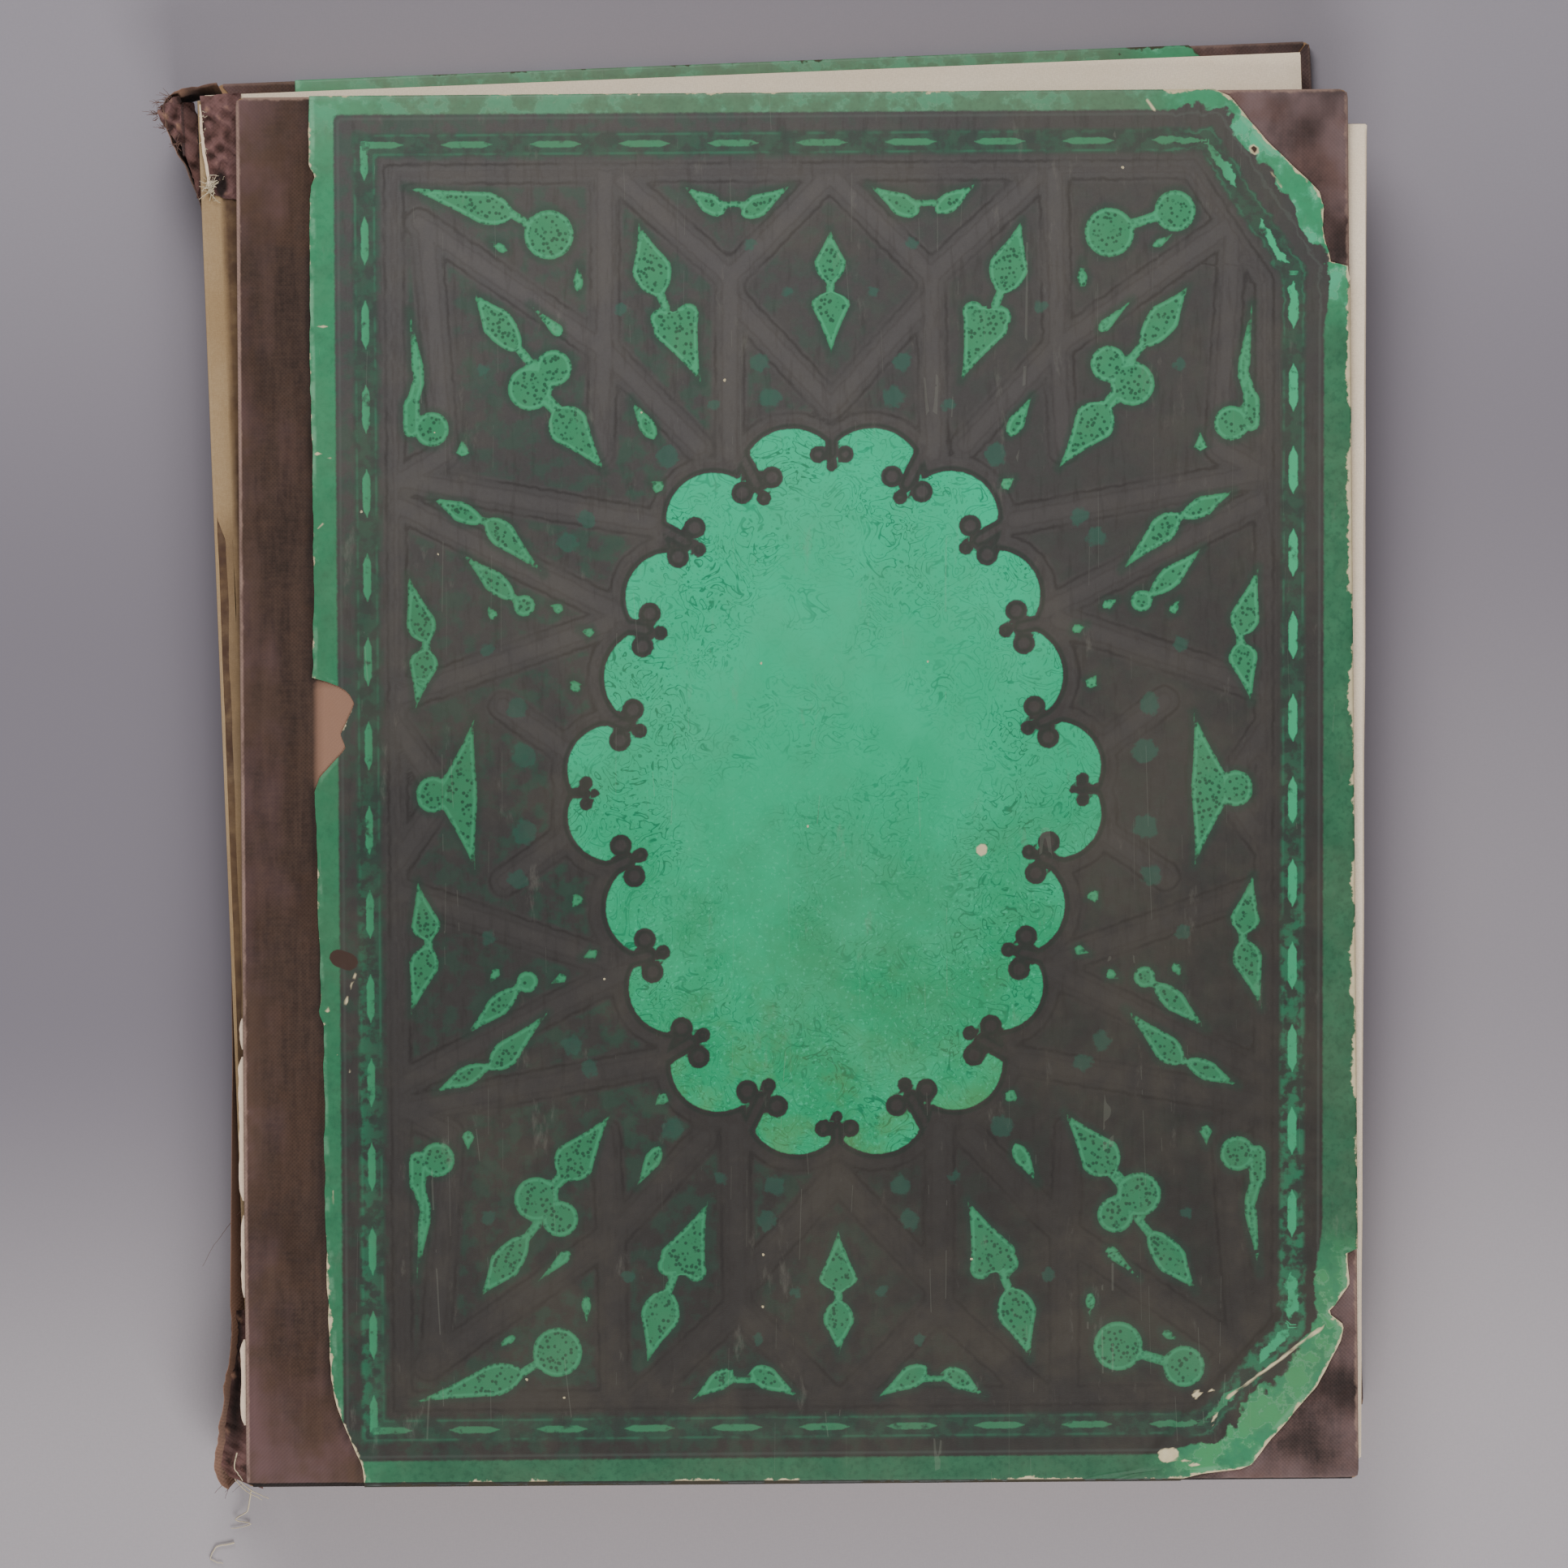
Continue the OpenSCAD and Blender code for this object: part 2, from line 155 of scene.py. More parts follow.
IN_BLOCK = Placement(Body.TEXT_BLOCK)
IN_UPPER_LEAVES = Placement(Body.UPPER_LEAVES)
IN_FRONT_COVER = Placement(Body.FRONT_COVER, (1.5, -11.8, 28.04), 1.8)
IN_LOOSE_LEAVES = Placement(Body.FRONT_LEAVES, (9.2, -13.8, 0.0), 2.5)
IN_BACK_COVER = Placement(Body.BACK_COVER, flipped_at=3.8)


# Numbers


def eased(t: np.ndarray) -> np.ndarray:
    """Smooth step from 0 to 1: 3 t squared less 2 t cubed, with t kept between 0 and 1."""
    t = np.clip(t, 0, 1)
    return t * t * (3 - 2 * t)


LAYERS_MEAN = 1.75
FACET = 1.9


def ripple(at: np.ndarray, wavelength: float, seed: int, layers: int = 3) -> np.ndarray:
    """Smooth noise along one coordinate: eased steps between random values, at halving wavelengths.

    Args:
        at: Coordinate, in millimetres.
        wavelength: Length of the longest waves.
        seed: Seed of the random values.
        layers: Number of wavelengths added up.

    Returns:
        Values between about -1 and 1.
    """
    rng = np.random.default_rng(seed)
    size, offset = 1024, 400.0
    total = np.zeros_like(at, dtype=float)
    for layer in range(layers):
        table = rng.uniform(-1.0, 1.0, size)
        cell = at / wavelength * 2**layer + offset
        low = np.floor(cell).astype(int)
        part = eased(cell - low)
        total += (table[low % size] * (1 - part) + table[(low + 1) % size] * part) / 2**layer
    return total / LAYERS_MEAN


def patches(x: np.ndarray, y: np.ndarray, wavelength: float, seed: int, layers: int = 3) -> np.ndarray:
    """Smooth noise over a plane: random values on a square lattice, eased between, at halving wavelengths.

    Args:
        x: First coordinate, in millimetres.
        y: Second coordinate.
        wavelength: Spacing of the coarsest lattice.
        seed: Seed of the random values.
        layers: Number of lattices added up.

    Returns:
        Values between about -1 and 1.
    """
    rng = np.random.default_rng(seed)
    size, offset = 256, 90.0
    total = np.zeros_like(x, dtype=float)
    for layer in range(layers):
        table = rng.uniform(-1.0, 1.0, (size, size))
        cx, cy = x / wavelength * 2**layer + offset, y / wavelength * 2**layer + offset
        ix, iy = np.floor(cx).astype(int), np.floor(cy).astype(int)
        px, py = eased(cx - ix), eased(cy - iy)
        low, high = (table[ix % size, row % size] * (1 - px) + table[(ix + 1) % size, row % size] * px
                     for row in (iy, iy + 1))
        total += (low * (1 - py) + high * py) / 2**layer
    return total / LAYERS_MEAN


def facets(x: np.ndarray, y: np.ndarray, size: float, seed: int, folds: int = 7) -> np.ndarray:
    """Crumple of flat facets with sharp folds: the mean of triangle waves that run in random directions.

    Args:
        x: First coordinate, in millimetres.
        y: Second coordinate.
        size: Mean length of a wave.
        seed: Seed of the directions.
        folds: Number of waves.

    Returns:
        Values between -1 and 1.
    """
    rng = np.random.default_rng(seed)
    total = np.zeros_like(x, dtype=float)
    for turn, phase, length in zip(rng.uniform(0, math.pi, folds), rng.uniform(0, 2, folds),
                                   rng.uniform(0.6, 1.6, folds) * size):
        along = (x * math.cos(turn) + y * math.sin(turn)) / length + phase
        total += 2 * np.abs(np.mod(along, 2.0) - 1.0) - 1.0
    return total / math.sqrt(folds)


def line_through(points: Sequence[tuple[float, float]], rough: float = 0.0, seed: int = 0) -> Line:
    """A line given as x for each y, straight between points, with a torn roughness on it.

    Args:
        points: (x, y) places along the line.
        rough: Height of the roughness, in millimetres.
        seed: Seed of the roughness.

    Returns:
        The function that gives x for y.
    """
    table = np.array(sorted(points, key=lambda point: point[1]))

    def x_at(y: np.ndarray) -> np.ndarray:
        """x of the line at y."""
        return np.interp(y, table[:, 1], table[:, 0]) + rough * ripple(y, 5.0, seed)

    return x_at


def distance_to_path(x: np.ndarray, y: np.ndarray, path: Sequence[tuple[float, float]]) -> np.ndarray:
    """Distance from each place to a path: the least over its straight pieces.

    Args:
        x: First coordinate of the places.
        y: Second coordinate of the places.
        path: Corners of the path.

    Returns:
        Distances, in millimetres.
    """
    far = np.full_like(x, 1e3, dtype=float)
    return np.minimum.reduce([far, *(Bar(start, end, 0.0).distance(x, y) for start, end in zip(path, path[1:]))])


@dataclass(frozen=True)
class Disc:
    """A round ornament."""

    middle: tuple[float, float]
    radius: float

    def distance(self, x: np.ndarray, y: np.ndarray) -> np.ndarray:
        """Distance outside the disc, negative inside."""
        return np.hypot(x - self.middle[0], y - self.middle[1]) - self.radius


@dataclass(frozen=True)
class Bar:
    """A straight ornament with round ends."""

    start: tuple[float, float]
    end: tuple[float, float]
    radius: float

    def distance(self, x: np.ndarray, y: np.ndarray) -> np.ndarray:
        """Distance outside the bar: to the nearest point of its axis, less its radius.

        Args:
            x: Places across.
            y: Places along the height.

        Returns:
            The distance at each place, negative inside.
        """
        ax, ay = self.start
        dx, dy = self.end[0] - ax, self.end[1] - ay
        along = np.clip(((x - ax) * dx + (y - ay) * dy) / max(dx * dx + dy * dy, 1e-9), 0, 1)
        return np.hypot(x - ax - along * dx, y - ay - along * dy) - self.radius


@dataclass(frozen=True)
class Leaf:
    """A leaf-shaped ornament: pointed at its tip, round at its other end."""

    tip: tuple[float, float]
    end: tuple[float, float]
    half_width: float
    widest: float

    def distance(self, x: np.ndarray, y: np.ndarray) -> np.ndarray:
        """Distance outside the leaf: across its axis less the half width, which grows from the tip
        as a power of the way along and closes as a quarter ellipse after its widest place.

        Args:
            x: Places across.
            y: Places along the height.

        Returns:
            The distance at each place, negative inside.
        """
        dx, dy = self.end[0] - self.tip[0], self.end[1] - self.tip[1]
        length = math.hypot(dx, dy)
        along = ((x - self.tip[0]) * dx + (y - self.tip[1]) * dy) / length
        across = np.abs((x - self.tip[0]) * dy - (y - self.tip[1]) * dx) / length
        t = np.clip(along / length, 0, 1)
        rising = np.clip(t / self.widest, 0, 1) ** 1.25
        closing = np.sqrt(np.clip(1 - (np.clip(t - self.widest, 0, 1) / (1 - self.widest)) ** 2, 0, 1))
        half = self.half_width * np.where(t < self.widest, rising, closing)
        beyond = np.maximum(np.maximum(-along, along - length), 0)
        return np.where(beyond > 0, np.hypot(across, beyond), across - half)


Ornament = Union[Disc, Bar, Leaf]


def ornaments(*rows: Sequence[float]) -> tuple[Ornament, ...]:
    """Ornaments from their numbers, places first: three make a disc, five a bar, six a leaf.

    Args:
        rows: The numbers of each ornament.

    Returns:
        The ornaments, in the order of their rows.
    """
    kinds = {3: lambda x, y, r: Disc((x, y), r), 5: lambda x, y, u, v, r: Bar((x, y), (u, v), r),
             6: lambda x, y, u, v, half, widest: Leaf((x, y), (u, v), half, widest)}
    return tuple(kinds[len(row)](*row) for row in rows)


def nearest(ornaments: Sequence[Ornament], x: np.ndarray, y: np.ndarray) -> np.ndarray:
    """Distance outside the nearest of several ornaments."""
    return np.minimum.reduce([ornament.distance(x, y) for ornament in ornaments])


def trefoil(middle: tuple[float, float], outward: tuple[float, float], size: float = 1.0) -> tuple[Ornament, ...]:
    """A cusp that cuts into the medallion: a wide stem from outside, two side bulbs and a tip.

    Args:
        middle: Middle of the bulbs.
        outward: Direction out of the medallion.
        size: Share of the full size.

    Returns:
        The ornaments that make it up.
    """
    (cx, cy), length = middle, math.hypot(*outward)
    ox, oy = outward[0] / length * size, outward[1] / length * size
    return ornaments(
        (cx + 9 * ox, cy + 9 * oy, cx, cy, 2.3 * size), (cx - 4.6 * oy, cy + 4.6 * ox, 3.1 * size),
        (cx + 4.6 * oy, cy - 4.6 * ox, 3.1 * size), (cx - 4 * ox, cy - 4 * oy, 2.1 * size),
    )


@dataclass(frozen=True)
class Strapwork:
    """The printed ornament of a cover's paper, as distances: leaves, piercings and ribs that repeat in
    the four quarters about the middle, a scalloped medallion, and a dashed frame.

    Places are in millimetres from the middle, towards the spine and towards the head.
    """

    middle: tuple[float, float] = (10.2, -1.0)
    leaves: tuple[Ornament, ...] = ornaments(
        (115, 106.5, 115, 100, 2.2), (115.5, 133, 112.5, 112, 1.6, 0.75), (113, 113, 115, 106.5, 1.6),
        (109.5, 100, 4.7), (98, 137.5, 85.5, 121.5, 4.2, 0.5), (86, 122.5, 82, 117.5, 1.1), (76, 116.5, 4.9),
        (82.5, 111, 6), (78.5, 108.5, 74, 103.5, 1.6), (62, 88, 75.5, 105, 5.6, 0.72),
        (82.5, 134, 73.5, 125.5, 1.6, 0.8), (69, 145, 69, 137.5, 1.3, 0.6), (93.5, 151.5, 88.5, 148.5, 1.1, 0.6),
        (52.5, 156, 47, 136.5, 5.3, 0.62), (47, 137.5, 45, 132.5, 1.1), (35.5, 112, 44, 131.5, 6.4, 0.8),
        (46.5, 129.5, 2.9), (39, 131, 2.9), (40, 166, 29, 158.5, 2.7, 0.6), (29, 161, 23, 161, 0.8),
        (10.5, 166, 24, 158, 3.1, 0.65), (0, 154, 0, 139.5, 4.2, 0.6), (0, 140, 0, 135.5, 1.1),
        (0, 120, 0, 136.5, 5.3, 0.8), (55, 108, 48.5, 97, 2.2, 0.65), (101, 98, 101, 92.5, 1.8, 0.8),
        (110, 81.5, 96, 74.5, 2.7, 0.55), (96.5, 75, 94, 74.5, 0.9), (79, 60, 94.5, 75, 3.6, 0.72),
        (101.5, 66, 87.5, 53.5, 2.9, 0.6), (88, 54, 86, 52.5, 0.9), (84.5, 51.5, 2.9),
        (116.5, 60.5, 111.5, 42, 4, 0.72), (111.5, 43, 111.5, 38.5, 1.1), (114.5, 23.5, 111.5, 39.5, 4, 0.75),
        (78, 52, 74, 50, 1.4, 0.7), (69.5, 45, 65.5, 43.5, 1.4, 0.7), (72, 31.5, 70, 28, 1.8, 0.7),
        (50, 85.5, 46.5, 83, 1.8, 0.7), (95, 52, 92.5, 48, 1.3, 0.7), (98.5, 21, 103.5, -1.5, 5.1, 0.85),
        (110, 0.5, 4.4),
    )
    spine_corner: tuple[Ornament, ...] = ornaments(
        (116.5, 166.5, 87, 158.5, 4.4, 0.74), (87.5, 159, 82.5, 156, 1.1), (77, 153, 6.7),
    )
    fore_corner: tuple[Ornament, ...] = ornaments(
        (94.5, 158.2, 5.6), (82, 154.5, 90, 157, 1.3), (76.5, 152.5, 6.7),
    )
    piercings: tuple[Ornament, ...] = ornaments(
        (57.5, 132.5, 2), (12, 137, 1.8), (22, 150, 1.8), (19.5, 117.5, 2.9), (17, 108, 3.1), (95.5, 116, 2),
        (45, 92, 3.3), (67.5, 75, 2.7), (72.5, 69, 2.9), (86.5, 23.5, 3.1), (85, 10.5, 3.6), (32, 106, 2),
        (95, 39.5, 2.2),
    )
    ribs: tuple[Ornament, ...] = ornaments(
        (61.5, 171.5, 62, 124, 4.1), (62, 124, 63.5, 93, 4.1), (112.5, 156.5, 61.5, 121, 4.1),
        (61.5, 121, 36.5, 94.5, 4.1), (56.5, 167.5, 27.5, 141, 4.1), (27.5, 141, 28, 92.5, 4.1),
        (1.5, 167.5, 27.5, 141, 4.1), (26.5, 134.5, 0, 105.5, 4.1), (110.5, 153, 106, 93, 4.1),
        (122, 87, 50, 74, 4.1), (123.5, 81.5, 58, 49, 4.1), (124, 25, 61.5, 46.5, 4.1), (106, 93, 121, 84.5, 4.1),
        (90.5, 24, 71.5, 10.5, 4.1), (121.5, 21, 104, -4.5, 4.1),
    )
    lobes: tuple[Ornament, ...] = ornaments(
        (11, 85.5, 13.8), (32.5, 74.5, 12.9), (44.5, 53.5, 12.2), (49.5, 31.5, 13.3), (60.8, 6.4, 12.2),
    )
    oval: tuple[float, float] = (54.5, 85.5)
    cusps: tuple[Ornament, ...] = (
        *trefoil((0, 92.3), (0, 1), 0.8), *trefoil((20.5, 84), (0.46, 0.89)), *trefoil((40, 68.5), (0.86, 0.5)),
        *trefoil((51.2, 44.6), (0.97, 0.22)), *trefoil((56.8, 18.6), (0.92, 0.4)), *trefoil((68, 0), (1, 0), 0.62),
    )
    frame_corners: tuple[tuple[float, float], ...] = (
        (-125.6, -183.5), (113.9, -183.2), (142.6, -151.5), (145.5, 142.5), (117.7, 185.0), (-125.6, 185.3),
    )
    dash_pitch: float = 23.5

    def _frame(self, x: np.ndarray, y: np.ndarray) -> tuple[np.ndarray, np.ndarray]:
        """Distance inside the frame's outline, the least over its sides, and the way along that side.

        Args:
            x: Place on the cover, towards the fore-edge.
            y: Place on the cover, towards the head.

        Returns:
            The distance in millimetres, and the way along in dashes from the side's start.
        """
        inset = np.full_like(x, 1e3)
        run = np.zeros_like(x)
        corners = self.frame_corners
        for (ax, ay), (bx, by) in zip(corners, corners[1:] + corners[:1]):
            length = math.hypot(bx - ax, by - ay)
            ux, uy = (bx - ax) / length, (by - ay) / length
            inside = (y - ay) * ux - (x - ax) * uy
            dashes = max(1, round(length / self.dash_pitch))
            along = ((x - ax) * ux + (y - ay) * uy) / length * dashes
            run = np.where(inside < inset, along, run)
            inset = np.minimum(inset, inside)
        return inset, run

    def fields(self, x: np.ndarray, y: np.ndarray) -> dict[str, np.ndarray]:
        """The print's distances at places on the cover.

        Args:
            x: Place on the cover, towards the fore-edge.
            y: Place on the cover, towards the head.

        Returns:
            Named distances, in millimetres, one value for each place.
        """
        u, v = self.middle[0] - x, y - self.middle[1]
        across, up = np.abs(u), np.abs(v)
        corner = np.where(u > 0, nearest(self.spine_corner, across, up), nearest(self.fore_corner, across, up))
        inset, run = self._frame(x, y)
        leaves = np.minimum(nearest(self.leaves, across, up), corner)
        radius = np.hypot(across / self.oval[0], up / self.oval[1])
        field = (radius - 1) * min(self.oval) * 1.2
        field = np.minimum(field, nearest(self.lobes, across, up))
        field = np.maximum(field, -nearest(self.cusps, across, up))
        ribs = np.minimum.reduce([
            nearest(self.ribs, across, up), np.abs(field - 2.3) - 2.3, np.abs(inset - 16.4) - 2.7,
        ])
        return {
            "leaf": np.clip(np.maximum(leaves, 12.0 - inset), -12, 12),
            "pierce": np.clip(nearest(self.piercings, across, up), -6, 12),
            "rib": np.clip(np.maximum(ribs, 13.7 - inset), -6, 12),
            "ground": np.clip(field, -90, 30),
            "inset": inset,
            "run": run,
        }


# Meshes


def ring_quads(rows: int, around: int, first: int = 0) -> np.ndarray:
    """Quads between neighbouring closed rings of the same number of points.

    Args:
        rows: Number of rings.
        around: Points in each ring.
        first: Number of the first ring's first point.

    Returns:
        Four point numbers for each quad.
    """
    row, col = np.meshgrid(np.arange(rows - 1), np.arange(around), indexing="ij")
    after = (col + 1) % around
    corners = [row * around + col, row * around + after, (row + 1) * around + after, (row + 1) * around + col]
    return np.stack(corners, axis=-1).reshape(-1, 4) + first


@dataclass
class Shape:
    """Closed shapes made of rings of points, gathered into one mesh."""

    points: list[np.ndarray] = field(default_factory=list)
    faces: list[list[int]] = field(default_factory=list)
    values: list[dict[str, np.ndarray]] = field(default_factory=list)
    count: int = 0

    def add_rings(self, rings: np.ndarray, **values: np.ndarray | float) -> "Shape":
        """Adds a tube: rings of points joined by quads, closed by a cap at each end.

        Args:
            rings: (rows, around, 3) points in millimetres.
            values: Values for the points by name, each a number or a (rows, around) array.

        Returns:
            The shape itself.
        """
        rows, around = rings.shape[:2]
        last = self.count + (rows - 1) * around
        self.faces.extend(ring_quads(rows, around, self.count).tolist())
        self.faces.append(list(range(self.count + around - 1, self.count - 1, -1)))
        self.faces.append(list(range(last, last + around)))
        self.points.append(rings.reshape(-1, 3))
        self.values.append({name: np.broadcast_to(given, (rows, around)).ravel() for name, given in values.items()})
        self.count += rows * around
        return self

    def lay(self, name: str, place: Placement, slot: str, node: str | None = None,
            smooth: float = 35.0) -> bpy.types.Object:
        """Makes the mesh object, with its own places as the attribute "place", and lets it ride.

        Args:
            name: Name of the piece.
            place: Where the stack of the piece lies.
            slot: Material slot of the record; not used.
            node: Node of the frame that the piece stands for.
            smooth: Angle under which neighbouring faces are shaded smooth, in degrees.

        Returns:
            The object.
        """
        own = np.concatenate(self.points)
        mesh = bpy.data.meshes.new(name)
        mesh.from_pydata((place.place(own) * MM).tolist(), [], self.faces)
        mesh.attributes.new("place", "FLOAT_VECTOR", "POINT").data.foreach_set("vector", own.astype(np.float32).ravel())
        for key in self.values[0]:
            flat = np.concatenate([values[key] for values in self.values]).astype(np.float32)
            mesh.attributes.new(key, "FLOAT", "POINT").data.foreach_set("value", flat)
        work = bmesh.new()
        work.from_mesh(mesh)
        bmesh.ops.remove_doubles(work, verts=work.verts, dist=2e-6)
        bmesh.ops.dissolve_degenerate(work, edges=work.edges, dist=1e-7)
        bmesh.ops.recalc_face_normals(work, faces=work.faces)
        for face in work.faces:
            face.smooth = True
        work.to_mesh(mesh)
        work.free()
        mesh.set_sharp_from_angle(angle=math.radians(smooth))
        piece = bpy.data.objects.new(name, mesh)
        bpy.context.scene.collection.objects.link(piece)
        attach(piece, place.body.value)
        if node is not None:
            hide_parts(node)
        LOG.info("%s: %d points, %d faces", name, len(mesh.vertices), len(mesh.polygons))
        return piece


def tube(path: np.ndarray, radius: np.ndarray, sides: int = 6) -> np.ndarray:
    """Rings round a path: at each point a circle in the plane across the path.

    Args:
        path: (n, 3) points of the path, in millimetres.
        radius: (n,) radius at each point.
        sides: Points in a ring.

    Returns:
        (n, sides, 3) rings.
    """
    along = np.gradient(path, axis=0)
    along /= np.linalg.norm(along, axis=1, keepdims=True) + 1e-9
    helper = np.where(np.abs(along[:, 2:3]) < 0.9, np.array([[0.0, 0.0, 1.0]]), np.array([[1.0, 0.0, 0.0]]))
    side = np.cross(along, helper)
    side /= np.linalg.norm(side, axis=1, keepdims=True) + 1e-9
    up = np.cross(side, along)
    angle = np.linspace(0, 2 * math.pi, sides, endpoint=False)
    ring = side[:, None, :] * np.cos(angle)[None, :, None] + up[:, None, :] * np.sin(angle)[None, :, None]
    return path[:, None, :] + ring * radius[:, None, None]


@dataclass(frozen=True)
class EdgeTurn:
    """Path of a sheet from a cover's face over its edge to the end of what is turned in."""

    reach: float
    rounding: float
    top: float
    bottom: float
    turn: float

    def path(self) -> np.ndarray:
        """The path's places and outward directions: a quarter round, the edge, a quarter round, the turn-in.

        Returns:
            Rows of distance outwards, height, outward part and upward part of the direction, and share of
            the turn-in's length.
        """
        bend = np.radians([0.0, 25.0, 50.0, 72.0, 90.0, 90.0, 120.0, 150.0, 180.0])
        centre = np.repeat([self.top - self.rounding, self.bottom + self.rounding], [5, 4])
        inner = self.reach - self.rounding
        path = np.array([inner + self.rounding * np.sin(bend), centre + self.rounding * np.cos(bend),
                         np.sin(bend), np.cos(bend), np.zeros_like(bend)])
        if self.turn <= 0:
            return path
        turned = np.array([[inner] * 3, [self.bottom] * 3, [0.0] * 3, [-1.0] * 3, [0.33, 0.67, 1.0]])
        return np.concatenate([path, turned], axis=1)


@dataclass
class WrappedSheet:
    """A sheet that is pasted over a cover: on its face, over its edges and turned in beneath.

    Its rows run across the cover, one for each place along the path from the tail's turn-in over the
    face to the head's turn-in. Each row is a closed ring: its outer side, then its inner side back,
    with fewer points on the face.
    """

    left: Line
    right: Line
    thickness: float
    top: float
    bottom: float = 0.0
    grow: float = 0.0
    edges: tuple[Edge, ...] = ()
    low: float = -FAR
    high: float = FAR
    step: tuple[float, float] = (2.0, 2.0)
    rounding: float = 0.8
    spine_foot: float = 0.6
    inner_every: int = 14
    relief: Callable[[np.ndarray, np.ndarray], np.ndarray] | None = None
    fields: Callable[[np.ndarray, np.ndarray], dict[str, np.ndarray]] | None = None

    def _rows(self) -> np.ndarray:
        """The sheet's rows across the cover.

        Returns:
            y, height, direction along y, direction upwards and zone, each with one value for a row.
        """
        reach = BOOK.half_h + self.grow
        out, high, n_out, n_high, share = EdgeTurn(
            reach, self.rounding, self.top, self.bottom, BOOK.turn_in).path()[:, 1:]
        zone = np.where(share > 0, Zone.TURNED_IN.value, Zone.EDGE.value)
        wrap = np.array([out - share * (BOOK.turn_in - self.rounding), high, n_out, n_high, zone])
        inner = reach - self.rounding
        start = -inner if Edge.TAIL in self.edges else self.low
        stop = inner if Edge.HEAD in self.edges else self.high
        y = np.linspace(start, stop, max(3, int(round((stop - start) / self.step[1])) + 1))
        none = np.zeros_like(y)
        rows = np.array([y, none + self.top, none, none + 1, none + Zone.FACE.value])
        if Edge.HEAD in self.edges:
            rows = np.concatenate([rows, wrap], axis=1)
        if Edge.TAIL in self.edges:
            mirrored = wrap[:, ::-1] * np.array([-1, 1, -1, 1, 1])[:, None]
            rows = np.concatenate([mirrored, rows], axis=1)
        return rows

    def _limit(self, y: np.ndarray, zone: np.ndarray) -> np.ndarray:
        """Half the cover's width at each row: its rounded outline, and the mitre beneath.

        Args:
            y: Place of each row.
            zone: Zone of each row.

        Returns:
            The greatest x of each row.
        """
        past = np.clip(np.abs(y) - (BOOK.half_h - BOOK.corner_r), 0, BOOK.corner_r)
        rounded = BOOK.half_w - BOOK.corner_r + np.sqrt(np.clip(BOOK.corner_r**2 - past**2, 0, None))
        mitre = BOOK.half_w - (BOOK.half_h - np.abs(y))
        limit = np.where(zone == Zone.FACE.value, rounded + self.grow, BOOK.half_w - BOOK.corner_r)
        return np.where(zone == Zone.TURNED_IN.value, np.minimum(mitre, limit), limit)

    def _side(self, sign: float, y: np.ndarray, zone: np.ndarray) -> tuple[np.ndarray, ...]:
        """The wrap over the fore-edge (sign 1) or the spine edge (sign -1), for each row.

        Args:
            sign: Which side.
            y: Place of each row.
            zone: Zone of each row.

        Returns:
            x where the face ends, whether the row is wrapped, and the wrap's x, height and direction.
        """
        if sign > 0:
            edge, foot, turn, cut, other = Edge.FORE, self.bottom, BOOK.turn_in, self.right(y), self.left(y)
        else:
            edge, foot, turn, cut, other = Edge.SPINE, self.spine_foot, 0.0, self.left(y), -self.right(y)
        limit = self._limit(y, zone)
        wrapped = (zone == Zone.FACE.value) & (sign * cut >= limit) & (edge in self.edges)
        ends = np.where(wrapped, sign * (limit - self.rounding), sign * np.minimum(sign * cut, limit))
        path = EdgeTurn(0.0, self.rounding, self.top, foot, turn).path()
        if sign < 0:
            path = np.column_stack([path[:, :5], [0.0, foot, 1.0, 0.0, 0.0]])
        out, high, n_out, n_high, share = path
        depth = np.minimum.reduce([
            np.full_like(y, BOOK.turn_in), BOOK.half_h - np.abs(y), np.maximum(limit - other, 0.0),
        ])
        depth = np.clip(depth - self.rounding, 0.0, None)
        x = sign * (limit[:, None] + out - share * depth[:, None])
        x = np.where(wrapped[:, None], x, ends[:, None])
        return ends, wrapped, x, high, sign * n_out, n_high

    def rings(self) -> tuple[np.ndarray, dict[str, np.ndarray]]:
        """All rows as closed rings of points, and the values at them.

        Returns:
            (rows, around, 3) points, and the named values as (rows, around) arrays.
        """
        y, z, ny, nz, zone = self._rows()
        right_end, *right = self._side(1.0, y, zone)
        left_end, left_on, left_x, *left = self._side(-1.0, y, zone)
        crossed = left_end > right_end
        left_end = np.where(crossed, right_end, left_end)
        left_x = np.where(crossed[:, None], right_end[:, None], left_x)
        widest = float((right_end - left_end).max())
        share = np.linspace(0, 1, max(3, int(round(widest / self.step[0])) + 1))
        face_x = left_end[:, None] + share * (right_end - left_end)[:, None]

        def columns(on: np.ndarray, x: np.ndarray, high: Number, n_x: Number, n_z: Number) -> np.ndarray:
            """x, height and direction of some columns; a row without a wrap keeps its own.

            Args:
                on: Which rows have the wrap.
                x: x of each row and column.
                high: Height of each column.
                n_x: Direction of each column in x.
                n_z: Direction of each column in z.

            Returns:
                x, height and direction, stacked.
            """
            on = on[:, None]
            return np.array(np.broadcast_arrays(
                x, np.where(on, high, z[:, None]), np.where(on, n_x, 0.0), np.where(on, 0.0, ny[:, None]),
                np.where(on, n_z, nz[:, None])))

